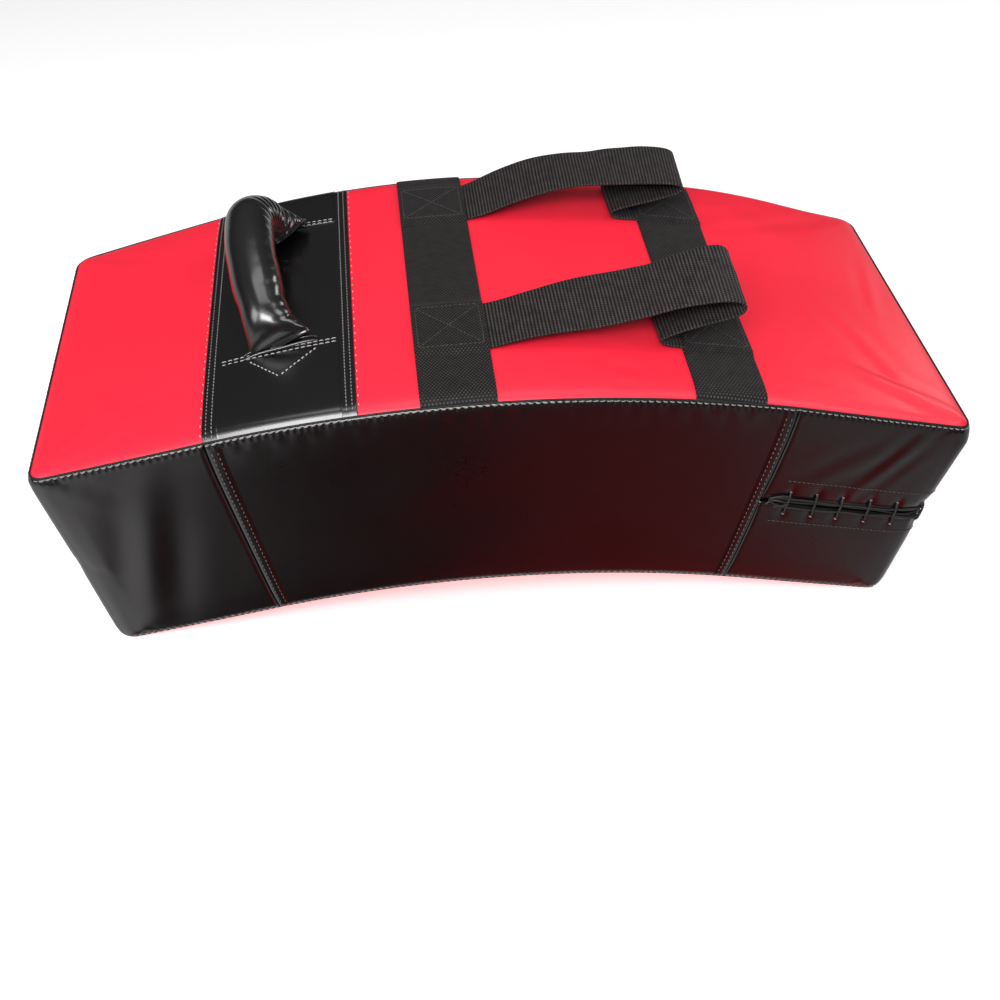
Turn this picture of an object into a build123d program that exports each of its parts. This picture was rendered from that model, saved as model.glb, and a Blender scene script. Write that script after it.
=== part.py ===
from build123d import *
import os
from math import sin, cos, tan, radians, degrees, atan2, hypot, pi, sqrt

os.makedirs("parts", exist_ok=True)

# ---------------------------------------------------------------------------
# Curved kick shield ("thai pad") standing on its two end edges, crown up.
# +X runs along its length, +Y across its width, +Z up; the origin is on the
# floor under the middle. All sizes in millimetres.
#
# Positions on the pad are given as (s, d): s is the distance from the crown
# measured along the convex back, d is the depth below the back surface.
# ---------------------------------------------------------------------------

# driving dimensions
BACK_RADIUS = 850.0          # radius of the convex back
ARC_HALF_ANGLE = 13.3        # degrees; beyond it the back runs straight
STRAIGHT_END = 107.3         # length of each straight end
THICKNESS = 150.0            # back to striking face
HALF_WIDTH = 138.0           # half the width across Y
CORNER_R = 12.0              # rounding of the four corners
SKIN = 1.4                   # covering material
CROWN_Z = 193.5              # height of the crown over the floor

BAND_S0, BAND_S1 = -194.5, -97.7      # black handle band
FRONT_SEAM_L, FRONT_SEAM_R = -194.5, 181.5
STRAP_L_S = -36.25           # middle of the left base strap
STRAP_R_S = 135.5            # middle of the right base strap
STRAP_HALF = 23.6            # half its width
WEB_T = 1.8                  # webbing thickness
NEAR_LOOP_Y, FAR_LOOP_Y = -66.0, 94.0
LOOP_HALF = 24.0             # half the loop's webbing width

BACK_FOAM, CORE_FOAM_END = 21.0, 115.0   # depths where the foam layers meet

HANDLE_S = -144.0            # line the grip is sewn along
HANDLE_LEAN = 16.7           # degrees off the surface normal, towards -X
HANDLE_R = 16.0
HANDLE_NEAR_Y, HANDLE_FAR_Y = -60.0, 90.0

SLIT_D = 76.0                # depth of the laced slit
LACE_R = 1.2
LACE_PITCH = 20.0

A = radians(ARC_HALF_ANGLE)
ARC_S = BACK_RADIUS * A
END_S = ARC_S + STRAIGHT_END


def surf(s, d=0.0):
    """Point (x, z) at arc position s and depth d."""
    k = 1 if s >= 0 else -1
    a = min(abs(s), ARC_S) / BACK_RADIUS
    e = max(abs(s) - ARC_S, 0.0)
    x = BACK_RADIUS * sin(a) + e * cos(a) - d * sin(a)
    z = CROWN_Z - BACK_RADIUS * (1 - cos(a)) - e * sin(a) - d * cos(a)
    return (k * x, z)


def slope(s):
    """Signed angle of the surface normal from vertical at s, radians."""
    return (1 if s >= 0 else -1) * min(abs(s), ARC_S) / BACK_RADIUS


def tangent_point(sc, u, h):
    """Point (x, z) at u along and h above the tangent plane that touches the back at sc."""
    x0, z0 = surf(sc)
    a = slope(sc)
    return (x0 + u * cos(a) + h * sin(a), z0 - u * sin(a) + h * cos(a))


def arch_face(d0, d1, s0=-END_S, s1=END_S, y=0.0):
    """Strip of the pad's side view between two depths and two positions, drawn at y; its normal is -Y."""
    cuts = [s0] + [c for c in (-ARC_S, ARC_S) if s0 + 0.01 < c < s1 - 0.01] + [s1]
    with BuildSketch(Plane.XZ.offset(-y)) as view:
        with BuildLine():
            for d in (d0, d1):
                for a0, a1 in zip(cuts, cuts[1:]):
                    if abs((a0 + a1) / 2) < ARC_S:
                        ThreePointArc(surf(a0, d), surf((a0 + a1) / 2, d), surf(a1, d))
                    else:
                        Line(surf(a0, d), surf(a1, d))
            Line(surf(s0, d0), surf(s0, d1))
            Line(surf(s1, d0), surf(s1, d1))
        make_face()
    return view.sketch


def corner_edges(part, end_s):
    """The four edges that run through the pad's depth at its corners."""
    xa, za = surf(end_s, 0)
    picked = []
    for e in part.edges():
        p, q = e.position_at(0), e.position_at(1)
        if abs(abs(p.Y) - abs(q.Y)) < 0.01 and abs(p.Y - q.Y) < 0.01 and abs(abs(p.X) - abs(q.X)) > 0.2:
            dx, dz = q.X - p.X, q.Z - p.Z
            n = hypot(dx, dz)
            k = 1 if p.X > 0 else -1
            # the direction through the depth at the straight ends
            if p.X * q.X > 0 and abs(p.X) > 230 and abs((dx * k * sin(A) + dz * cos(A)) / n) > 0.999:
                picked.append(e)
    return picked


def pad_block(d0, d1, half_y, end_s, r):
    """Solid slab of the arch with rounded corners."""
    with BuildPart() as block:
        extrude(arch_face(d0, d1, -end_s, end_s), amount=half_y, both=True)
        fillet(corner_edges(block.part, end_s), r)
    return block.part


def perimeter_ring(d0, d1, out_y, out_s, out_r, wall):
    """Wall that follows the whole rim of the pad between two depths."""
    inner = pad_block(d0 - 5, d1 + 5, out_y - wall, out_s - wall, max(out_r - wall, 1.0))
    with BuildPart() as ring:
        extrude(arch_face(d0, d1, -out_s, out_s), amount=out_y, both=True)
        fillet(corner_edges(ring.part, out_s), out_r)
        add(inner, mode=Mode.SUBTRACT)
    return ring.part


def save(holder, name):
    holder.part.label = name
    export_step(holder.part, "parts/" + name + ".step")


# --- foam block, three glued layers ----------------------------------------
FOAM_Y, FOAM_S, FOAM_R = HALF_WIDTH - 3.1, END_S - 3.1, CORNER_R - 3.0

with BuildPart() as foam_back_layer:
    add(pad_block(SKIN + 0.2, BACK_FOAM, FOAM_Y, FOAM_S, FOAM_R))
save(foam_back_layer, "foam_back_layer")

# the core is relieved behind the laced opening, where the cord runs
lace_relief = perimeter_ring(SLIT_D - 13, SLIT_D + 13, HALF_WIDTH + 2, END_S + 2, 2 * CORNER_R, 8.2)

with BuildPart() as relief:
    add(lace_relief)
    extrude(arch_face(0, THICKNESS, FRONT_SEAM_R + 2, END_S + 5), amount=HALF_WIDTH + 5, both=True, mode=Mode.INTERSECT)

with BuildPart() as foam_core:
    add(pad_block(BACK_FOAM + 0.1, CORE_FOAM_END, FOAM_Y, FOAM_S, FOAM_R))
    add(relief.part, mode=Mode.SUBTRACT)
save(foam_core, "foam_core")

with BuildPart() as foam_strike_layer:
    add(pad_block(CORE_FOAM_END + 0.1, THICKNESS - SKIN - 0.2, FOAM_Y, FOAM_S, FOAM_R))
save(foam_strike_layer, "foam_strike_layer")

# --- covers on the back: left panel, handle band, main panel ----------------
PANEL_Y = HALF_WIDTH - 4.1
PANEL_S = END_S - 4.1
panel_sheet = pad_block(0, SKIN, PANEL_Y, PANEL_S, CORNER_R - 4.0)


def panel_between(s0, s1):
    with BuildPart() as piece:
        add(panel_sheet)
        extrude(arch_face(-3, 5, s0, s1), amount=HALF_WIDTH + 5, both=True, mode=Mode.INTERSECT)
    return piece.part


with BuildPart() as back_panel_left:
    add(panel_between(-END_S - 4, BAND_S0 - 0.05))
save(back_panel_left, "back_panel_left")

with BuildPart() as handle_band:
    extrude(arch_face(0, SKIN, BAND_S0 + 0.05, BAND_S1 - 0.05), amount=PANEL_Y, both=True)
save(handle_band, "handle_band")

with BuildPart() as back_panel_main:
    add(panel_between(BAND_S1 + 0.05, END_S + 4))
save(back_panel_main, "back_panel_main")

# reinforcing patches sewn over both ends of the handle band
with BuildPart() as handle_patch_near:
    extrude(arch_face(-1.3, -0.1, BAND_S0 + 1, BAND_S1 - 1, y=HANDLE_NEAR_Y - 0.1), amount=HALF_WIDTH - 1.5 + HANDLE_NEAR_Y - 0.1)
save(handle_patch_near, "handle_patch_near")

with BuildPart() as handle_patch_far:
    extrude(arch_face(-1.3, -0.1, BAND_S0 + 1, BAND_S1 - 1, y=HALF_WIDTH - 1.5), amount=HALF_WIDTH - 1.5 - HANDLE_FAR_Y)
save(handle_patch_far, "handle_patch_far")

# --- striking face ----------------------------------------------------------
with BuildPart() as strike_panel:
    add(pad_block(THICKNESS - SKIN, THICKNESS, PANEL_Y, PANEL_S, CORNER_R - 4.0))
save(strike_panel, "strike_panel")

# --- welts between the faces and the side walls -----------------------------
with BuildPart() as welt_back:
    add(perimeter_ring(0, SKIN, HALF_WIDTH - 1.5, END_S - 1.5, CORNER_R - 1.5, 2.5))
save(welt_back, "welt_back")

with BuildPart() as welt_strike:
    add(perimeter_ring(THICKNESS - SKIN, THICKNESS, HALF_WIDTH - 1.5, END_S - 1.5, CORNER_R - 1.5, 2.5))
save(welt_strike, "welt_strike")

# --- side walls (gusset) ----------------------------------------------------
with BuildPart() as gusset_front:
    extrude(arch_face(0, THICKNESS, FRONT_SEAM_L + 0.05, FRONT_SEAM_R - 0.05, y=-HALF_WIDTH + SKIN), amount=SKIN)
save(gusset_front, "gusset_front")

with BuildPart() as gusset_rear:
    extrude(arch_face(0, THICKNESS, FRONT_SEAM_L + 0.05, FRONT_SEAM_R - 0.05, y=HALF_WIDTH), amount=SKIN)
save(gusset_rear, "gusset_rear")

gusset_wall = perimeter_ring(0, THICKNESS, HALF_WIDTH, END_S, CORNER_R, SKIN)

with BuildPart() as gusset_end_left:
    add(gusset_wall)
    extrude(arch_face(-5, THICKNESS + 5, -END_S - 5, FRONT_SEAM_L - 0.05), amount=HALF_WIDTH + 5, both=True, mode=Mode.INTERSECT)
save(gusset_end_left, "gusset_end_left")

with BuildPart() as gusset_end_right_upper:
    add(gusset_wall)
    extrude(arch_face(-5, SLIT_D - 1.0, FRONT_SEAM_R + 0.05, END_S + 5), amount=HALF_WIDTH + 5, both=True, mode=Mode.INTERSECT)
save(gusset_end_right_upper, "gusset_end_right_upper")

with BuildPart() as gusset_end_right_lower:
    add(gusset_wall)
    extrude(arch_face(SLIT_D + 1.0, THICKNESS + 5, FRONT_SEAM_R + 0.05, END_S + 5), amount=HALF_WIDTH + 5, both=True, mode=Mode.INTERSECT)
save(gusset_end_right_lower, "gusset_end_right_lower")

# facing strip behind the laced slit
facing_wall = perimeter_ring(
    SLIT_D - 20, SLIT_D + 20, HALF_WIDTH - SKIN - 0.15, END_S - SKIN - 0.15, CORNER_R - SKIN - 0.15, 1.3
)
with BuildPart() as lacing_facing:
    add(facing_wall)
    extrude(arch_face(0, THICKNESS, FRONT_SEAM_R + 3, END_S + 5), amount=HALF_WIDTH + 5, both=True, mode=Mode.INTERSECT)
save(lacing_facing, "lacing_facing")

# --- lacing cord: bars over the slit, joined behind the wall ----------------
# each station of the lacing is (side, position): front wall, end wall, rear wall
OUT, INN = LACE_R + 0.05, -(SKIN + 0.15 + 1.3 + 0.15 + LACE_R)
stations = [("front", 192.0 + LACE_PITCH * i) for i in range(6)]
stations += [("end", -124.0 + 20.667 * i) for i in range(13)]
stations += [("rear", 292.0 - LACE_PITCH * i) for i in range(6)]


def lace_point(side, pos, depth, out):
    if side == "end":
        x, z = surf(END_S + out, depth)
        return Vector(x, pos, z)
    x, z = surf(pos, depth)
    y = HALF_WIDTH + out
    return Vector(x, -y if side == "front" else y, z)


lace_route = []
for i, (side, pos) in enumerate(stations):
    top, low = SLIT_D - 8.5, SLIT_D + 8.5
    if i == 0:
        lace_route.append(lace_point(side, pos, top, OUT))
    else:
        lace_route += [lace_point(side, pos, top, INN), lace_point(side, pos, top, OUT)]
    lace_route.append(lace_point(side, pos, low, OUT))
    if i < len(stations) - 1:
        lace_route.append(lace_point(side, pos, low, INN))

with BuildPart() as lacing_cord:
    with BuildLine() as lace_line:
        FilletPolyline(*lace_route, radius=LACE_R + 0.15)
    with BuildSketch(lace_line.line ^ 0):
        Circle(LACE_R)
    sweep()
save(lacing_cord, "lacing_cord")

# --- base straps across the back --------------------------------------------
TAB_LOW, TAB_T = 0.1, 1.7          # the loops' ends lie under the base straps


def loop_spans():
    return [(NEAR_LOOP_Y - LOOP_HALF - 1, NEAR_LOOP_Y + LOOP_HALF + 1),
            (FAR_LOOP_Y - LOOP_HALF - 1, FAR_LOOP_Y + LOOP_HALF + 1)]


def strap_plane(sc, u):
    """Plane across the strap: its x is +Y, its y the surface normal, at u from the strap's middle."""
    x, z = tangent_point(sc, u, 0)
    a = slope(sc)
    return Plane(origin=(x, 0, z), x_dir=(0, 1, 0), z_dir=(cos(a), 0, -sin(a)))


def strap_profile():
    flat, high, ramp = 0.1, TAB_LOW + TAB_T + 0.2, 5.0
    line = [(-HALF_WIDTH + 0.0, flat)]
    for lo, hi in loop_spans():
        line += [(lo - ramp, flat), (lo, high), (hi, high), (hi + ramp, flat)]
    line += [(HALF_WIDTH - 0.0, flat)]
    return line + [(y, h + WEB_T) for y, h in reversed(line)]


with BuildPart() as base_strap_left:
    with BuildSketch(strap_plane(STRAP_L_S, -STRAP_HALF)):
        with BuildLine():
            Polyline(*strap_profile(), close=True)
        make_face()
    extrude(amount=2 * STRAP_HALF)
save(base_strap_left, "base_strap_left")

with BuildPart() as base_strap_right:
    with BuildSketch(strap_plane(STRAP_R_S, -STRAP_HALF)):
        with BuildLine():
            Polyline(*strap_profile(), close=True)
        make_face()
    extrude(amount=2 * STRAP_HALF)
save(base_strap_right, "base_strap_right")

# --- arm loops ---------------------------------------------------------------
# middle lines of the webbing in (s, height over the back)
near_stub_l = [(-12, 0.98), (0, 3.6), (9, 6.2), (18, 8.6)]
near_free = [(27, 11.2), (40, 14.2), (55, 18), (70, 21.6), (88, 26.5), (103, 34), (117, 39.5), (130, 44),
             (138, 44.6), (142.5, 42), (143.5, 37.5), (139.5, 31.5), (127, 26), (115, 20.2), (106, 15)]
near_stub_r = [(98, 8.8), (95.7, 5.2), (98.5, 2.9), (103, 1.9), (110, 1.4)]
far_stub_l = [(-12, 0.98), (0, 5.2), (8, 8.8), (14, 12)]
far_free = [(22.5, 16), (30, 19.2), (46, 24.5), (63, 27.9), (80, 30), (104, 33.5), (125, 35.6), (136, 36),
            (141, 34.4), (141.5, 31.5), (137, 28), (128, 23.5), (116, 18.7), (105, 15)]
far_stub_r = [(95.5, 10), (91, 7.6), (91.3, 4.6), (95, 2.7), (101, 1.9), (110, 1.4)]


def offset_band(points, t):
    """Closed outline of a band of thickness t along a line of points."""
    sides = ([], [])
    for i, (x, z) in enumerate(points):
        d = []
        if i > 0:
            d.append((x - points[i - 1][0], z - points[i - 1][1]))
        if i < len(points) - 1:
            d.append((points[i + 1][0] - x, points[i + 1][1] - z))
        n = [(-b / hypot(a, b), a / hypot(a, b)) for a, b in d]
        nx, nz = sum(p[0] for p in n) / len(n), sum(p[1] for p in n) / len(n)
        m = nx * nx + nz * nz
        nx, nz = nx / m, nz / m
        sides[0].append((x + nx * t / 2, z + nz * t / 2))
        sides[1].append((x - nx * t / 2, z - nz * t / 2))
    return sides[0] + list(reversed(sides[1]))


def above(points):
    """(s, height) to (x, z)."""
    return [surf(s, -h) for s, h in points]


def band_face(points, t, y):
    """Side view of a band of webbing, drawn at y; its normal is -Y."""
    with BuildSketch(Plane.XZ.offset(-y)) as view:
        with BuildLine():
            Polyline(*offset_band(points, t), close=True)
        make_face()
    return view.sketch


TAB_MID = TAB_LOW + TAB_T / 2
left_tab = [tangent_point(STRAP_L_S, u, TAB_MID) for u in (-STRAP_HALF + 3, STRAP_HALF + 1.5)]
right_tab = [tangent_point(STRAP_R_S, u, TAB_MID) for u in (-STRAP_HALF - 1.5, STRAP_HALF - 3)]

with BuildPart() as arm_loop_near_ends:
    extrude(band_face(left_tab + above(near_stub_l[1:]), TAB_T, NEAR_LOOP_Y + LOOP_HALF), amount=2 * LOOP_HALF)
    extrude(band_face(above(near_stub_r[:-1]) + right_tab, TAB_T, NEAR_LOOP_Y + LOOP_HALF), amount=2 * LOOP_HALF)
save(arm_loop_near_ends, "arm_loop_near_ends")

with BuildPart() as arm_loop_far_ends:
    extrude(band_face(left_tab + above(far_stub_l[1:]), TAB_T, FAR_LOOP_Y + LOOP_HALF), amount=2 * LOOP_HALF)
    extrude(band_face(above(far_stub_r[:-1]) + right_tab, TAB_T, FAR_LOOP_Y + LOOP_HALF), amount=2 * LOOP_HALF)
save(arm_loop_far_ends, "arm_loop_far_ends")

with BuildPart() as arm_loop_near:
    extrude(band_face(above(near_free), WEB_T, NEAR_LOOP_Y + LOOP_HALF), amount=2 * LOOP_HALF)
save(arm_loop_near, "arm_loop_near")

with BuildPart() as arm_loop_far:
    extrude(band_face(above(far_free), WEB_T, FAR_LOOP_Y + LOOP_HALF), amount=2 * LOOP_HALF)
save(arm_loop_far, "arm_loop_far")

# --- carrying handle: webbing inside a foam roll inside a sewn sleeve --------
handle_angle = slope(HANDLE_S) - radians(HANDLE_LEAN)
hx, hz = surf(HANDLE_S, -0.1)
handle_plane = Plane(
    origin=(hx, 0, hz), x_dir=(0, 1, 0), z_dir=(cos(handle_angle), 0, -sin(handle_angle))
)
# in the handle's plane: (y, reach from the sewn line)
handle_route = [(-42.3, 26.0), (-38.0, 36.0), (-3.0, 46.0), (44.0, 46.5), (70.0, 34.0), (75.0, 25.0)]


def handle_start():
    a = atan2(handle_route[1][1] - handle_route[0][1], handle_route[1][0] - handle_route[0][0])
    p = handle_plane.from_local_coords(Vector(handle_route[0][0], handle_route[0][1], 0))
    q = handle_plane.from_local_coords(Vector(handle_route[1][0], handle_route[1][1], 0))
    return Plane(origin=p, x_dir=handle_plane.z_dir, z_dir=(q - p).normalized())


def handle_path():
    with BuildLine(handle_plane) as route:
        FilletPolyline(*handle_route, radius=[20.0, 60.0, 30.0, 22.0])
    return route.line


handle_line = handle_path()

with BuildPart() as handle_cover:
    with BuildSketch(handle_start()):
        Circle(HANDLE_R)
        Circle(HANDLE_R - SKIN, mode=Mode.SUBTRACT)
    sweep(path=handle_line)
save(handle_cover, "handle_cover")

with BuildPart() as handle_foam:
    with BuildSketch(handle_start()):
        Circle(HANDLE_R - SKIN - 0.1)
        Rectangle(20.4, 3.4, mode=Mode.SUBTRACT)
    sweep(path=handle_line)
save(handle_foam, "handle_foam")

with BuildPart() as handle_webbing:
    with BuildSketch(handle_start()):
        Rectangle(20.0, 3.0)
    sweep(path=handle_line)
save(handle_webbing, "handle_webbing")

# flattened ends of the handle, sewn to the band
TAB_SECTION = [(-21, 0.15), (21, 0.15), (21, 3.5), (12, 11), (-12, 11), (-21, 3.5)]


def handle_tab(y0, y1, name):
    a = slope(HANDLE_S)
    x, z = surf(HANDLE_S)
    with BuildPart() as tab:
        with BuildSketch(Plane(origin=(x, y1, z), x_dir=(cos(a), 0, -sin(a)), z_dir=(0, -1, 0))):
            with BuildLine():
                Polyline(*TAB_SECTION, close=True)
            make_face()
        extrude(amount=y1 - y0)
    save(tab, name)


handle_tab(HANDLE_NEAR_Y + 0.3, HANDLE_NEAR_Y + 15, "handle_tab_near")
handle_tab(HANDLE_FAR_Y - 16, HANDLE_FAR_Y - 0.3, "handle_tab_far")
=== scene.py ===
import math

import bpy
import numpy as np
from mathutils import Matrix, Vector


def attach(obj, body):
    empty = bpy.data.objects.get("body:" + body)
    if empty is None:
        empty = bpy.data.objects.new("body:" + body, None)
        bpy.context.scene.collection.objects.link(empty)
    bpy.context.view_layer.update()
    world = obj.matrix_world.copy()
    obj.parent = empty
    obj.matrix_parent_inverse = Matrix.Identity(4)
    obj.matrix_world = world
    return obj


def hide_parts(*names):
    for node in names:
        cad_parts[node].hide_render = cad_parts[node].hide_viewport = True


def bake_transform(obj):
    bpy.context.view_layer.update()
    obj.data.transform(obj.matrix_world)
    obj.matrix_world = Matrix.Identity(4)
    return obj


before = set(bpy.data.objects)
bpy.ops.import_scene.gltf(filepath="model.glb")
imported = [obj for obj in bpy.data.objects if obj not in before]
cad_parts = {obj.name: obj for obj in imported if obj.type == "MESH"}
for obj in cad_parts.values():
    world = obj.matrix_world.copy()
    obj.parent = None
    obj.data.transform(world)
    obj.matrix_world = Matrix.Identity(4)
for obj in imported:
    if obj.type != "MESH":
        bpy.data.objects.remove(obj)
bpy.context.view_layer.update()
rng = np.random.RandomState(7)

# ---------------------------------------------------------------------------
# Pad geometry, in millimetres; meshes are written in metres.
# (s, y, h): s along the convex back from the crown, y across, h above the back.
# ---------------------------------------------------------------------------
R0, A0, STR, TH, CZ = 850.0, math.radians(13.3), 111.0, 150.0, 193.5
LA = R0 * A0
SE = LA + STR
CORNER = 10.5
BAND0, BAND1 = -194.5, -97.7
SEAM_L, SEAM_R = -194.5, 181.5
ST1 = (-59.9, -12.6)
ST2 = (111.9, 159.1)
SLIT = 76.0
H1, H2, RT = 2.5, 1.2, 5.0     # roll at the top edge, slow crown, roll width
G1, G2, RG = 2.2, 0.4, 4.8      # the same on the side walls
INSET = 1.0


def back(s):
    k = np.where(s >= 0, 1.0, -1.0)
    a = np.minimum(np.abs(s), LA) / R0
    e = np.maximum(np.abs(s) - LA, 0)
    x = k * (R0 * np.sin(a) + e * np.cos(a))
    z = CZ - R0 * (1 - np.cos(a)) - e * np.sin(a)
    return x, z, k * np.sin(a), np.cos(a)


def P(s, y, h):
    s, y, h = np.broadcast_arrays(np.asarray(s, float), np.asarray(y, float), np.asarray(h, float))
    x, z, nx, nz = back(s)
    return np.stack([x + h * nx, y, z + h * nz], -1)


def half_width(s, y=-1.0):
    """The stuffed pad is widest in the middle, and its far side swells towards the laced end."""
    x = back(s)[0]
    near = 140.5 - 7.5 * (x / 300.0) ** 2
    far = 142.0 - np.where(x < 0, 16.0, 5.5) * (x / 300.0) ** 2 + 4.2 * np.exp(-(((s - 205.0) / 80.0) ** 2))
    return np.where(np.asarray(y) >= 0, far, near)


def to_b(s, y):
    return np.clip(y / (half_width(s, y) - INSET), -1, 1)


def roll(t):
    return np.sqrt(np.clip(1 - (1 - np.clip(t, 0, 1)) ** 2, 0, 1))


def sstep(t):
    t = np.clip(t, 0, 1)
    return t * t * (3 - 2 * t)


def plan(s, b, inset):
    """Rounded plan of the pad: returns s, y, distance to the rim, and the outward direction there."""
    s, b = np.broadcast_arrays(np.asarray(s, float), np.asarray(b, float))
    L, w, r = SE - inset, half_width(s, b) - inset, CORNER - inset
    y = b * w
    qs, qy = np.abs(s) - (L - r), np.abs(y) - (w - r)
    m = (qs > 0) & (qy > 0)
    u, v = np.clip(qs / r, 0, 1), np.clip(qy / r, 0, 1)
    u2, v2 = u * np.sqrt(1 - v * v / 2), v * np.sqrt(1 - u * u / 2)
    s2 = np.where(m, np.sign(s) * (L - r + u2 * r), s)
    y2 = np.where(m, np.sign(b) * (w - r + v2 * r), y)
    qs, qy = np.abs(s2) - (L - r), np.abs(y2) - (w - r)
    ps, py = np.maximum(qs, 0), np.maximum(qy, 0)
    e = r - (np.hypot(ps, py) + np.minimum(np.maximum(qs, qy), 0))
    n = np.maximum(np.hypot(ps, py), 1e-9)
    return s2, y2, e, np.sign(s2) * ps / n, np.sign(y2) * py / n


def swell(s, y):
    """The far back corner by the laced end is stuffed fuller."""
    return 4.6 * np.exp(-(((s - 200.0) / 90.0) ** 2)) * sstep((y - 10.0) / 110.0)


def face_base(s, b, under=False):
    s2, y2, e, _, _ = plan(s, b, INSET)
    h = -INSET + (INSET + H1) * roll(e / RT) + H2 * (1 - np.exp(-e / 45))
    if not under:
        # the back face bends down more and more steeply to its seam
        h = -INSET + (INSET + H1 + 0.2) * (1 - np.exp(-e / 3.3)) + H2 * (1 - np.exp(-e / 45))
        h = h + swell(s2, y2) * sstep(e / 14)
    return P(s2, y2, -TH - h if under else h)


def side_base(s, b, d):
    s2, y2, _, ns, ny = plan(s, b, 0.0)
    ed = np.minimum(d, TH - d) - INSET
    o = -INSET + (INSET + G1) * roll(ed / RG) + G2 * (1 - np.exp(-np.maximum(ed, 0) / 35))
    # the four upright corners are pushed out a little by the stuffing
    o = o + (0.6 + 2.6 * (s2 > 0) * (y2 < 0) * np.exp(-d / 60.0)) * np.clip(np.abs(ns * ny) * 2, 0, 1) ** 1.5 * sstep(ed / 12)
    p = P(s2, y2, -d)
    _, _, nx, nz = back(s2)
    out = np.stack([ns * nz, ny, -ns * nx], -1)
    return p + o[..., None] * out, out


def spans(points, step):
    """Positions through the given points, each stretch cut evenly in about step."""
    out = []
    for a, b in zip(points, points[1:]):
        n = max(1, int(round((b - a) / step)))
        out += list(a + (b - a) * np.arange(n) / n)
    return np.array(out + [points[-1]])


# coarse net, for the simulation
Lc = SE - INSET
S_C = np.concatenate([[-Lc, -Lc + 2.5, -Lc + 6.5], spans([-Lc + 12, BAND0, BAND1, SEAM_R, Lc - 12], 5.8), [Lc - 6.5, Lc - 2.5, Lc]])
B_C = np.concatenate([[-1, -0.982, -0.953], spans([-0.914, 0.0, 0.914], 0.0415), [0.953, 0.982, 1]])
D_C = np.concatenate([[INSET, 4.0, 8.0], spans([13.0, SLIT, TH - 13.0], 5.7), [TH - 8.0, TH - 4.0, TH - INSET]])
NS, NB, ND = len(S_C) - 1, len(B_C) - 1, len(D_C) - 1
LOOP_IJ = (
    [(i, 0) for i in range(NS)]
    + [(NS, j) for j in range(NB)]
    + [(i, NB) for i in range(NS, 0, -1)]
    + [(0, j) for j in range(NB, 0, -1)]
)
NL = len(LOOP_IJ)
LOOP_S = np.array([S_C[i] for i, j in LOOP_IJ] + [S_C[0]])
LOOP_B = np.array([B_C[j] for i, j in LOOP_IJ] + [B_C[0]])
# the wall's own rim reaches the full plan, so its corners are taken at full size
LOOP_S = np.sign(LOOP_S) * np.where(np.abs(LOOP_S) > Lc - 12.01, SE - (Lc - np.abs(LOOP_S)), np.abs(LOOP_S))


def loop_t(side, v):
    """Place along the rim, as a fractional index: side is front, right, rear or left."""
    v = np.asarray(v, float)
    if side == "front":
        return np.interp(v, S_C, np.arange(NS + 1))
    if side == "right":
        return NS + np.interp(v, B_C, np.arange(NB + 1))
    if side == "rear":
        return NS + NB + NS - np.interp(v, S_C, np.arange(NS + 1))
    return 2 * NS + NB + NB - np.interp(v, B_C, np.arange(NB + 1))


def loop_sb(t):
    t = np.mod(t, NL)
    k = np.arange(NL + 1)
    return np.interp(t, k, LOOP_S), np.interp(t, k, LOOP_B)


def catmull(t):
    return [(-t + 2 * t * t - t**3) / 2, (2 - 5 * t * t + 3 * t**3) / 2, (t + 4 * t * t - 3 * t**3) / 2, (-t * t + t**3) / 2]


def sample(G, fi, fj, wrap=False):
    """Smooth value of the net G at fractional indices."""
    n, m = G.shape[:2]
    i = np.clip(np.floor(fi).astype(int), 0, n - 2)
    j = np.floor(fj).astype(int)
    if not wrap:
        j = np.clip(j, 0, m - 2)
    wi, wj = catmull(fi - i), catmull(fj - j)
    out = 0
    for a in range(4):
        ia = np.clip(i + a - 1, 0, n - 1)
        row = 0
        for b in range(4):
            jb = (j + b - 1) % m if wrap else np.clip(j + b - 1, 0, m - 1)
            row = row + wj[b][..., None] * G[ia, jb]
        out = out + wi[a][..., None] * row
    return out


# ---------------------------------------------------------------------------
# small mesh tools
# ---------------------------------------------------------------------------
def make(name, verts, faces, mat, uv=None, smooth=True):
    me = bpy.data.meshes.new(name)
    me.from_pydata((np.asarray(verts) / 1000.0).tolist(), [], [list(f) for f in faces])
    me.update()
    if smooth:
        me.polygons.foreach_set("use_smooth", [True] * len(me.polygons))
    if uv is not None:
        layer = me.uv_layers.new(name="uv")
        idx = np.zeros(len(me.loops), int)
        me.loops.foreach_get("vertex_index", idx)
        layer.data.foreach_set("uv", np.asarray(uv, np.float32)[idx].ravel())
    ob = bpy.data.objects.new(name, me)
    bpy.context.scene.collection.objects.link(ob)
    if mat is not None:
        me.materials.append(mat)
    return ob


def grid_normals(G):
    du = np.gradient(G, axis=0)
    dv = np.gradient(G, axis=1)
    n = np.cross(du, dv)
    return n / np.maximum(np.linalg.norm(n, axis=-1, keepdims=True), 1e-12)


def grid_faces(n, m, off=0, flip=False):
    i, j = np.meshgrid(np.arange(n - 1), np.arange(m - 1), indexing="ij")
    a = (i * m + j + off).ravel()
    q = np.stack([a, a + m, a + m + 1, a + 1], -1)
    return q[:, ::-1] if flip else q


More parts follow.
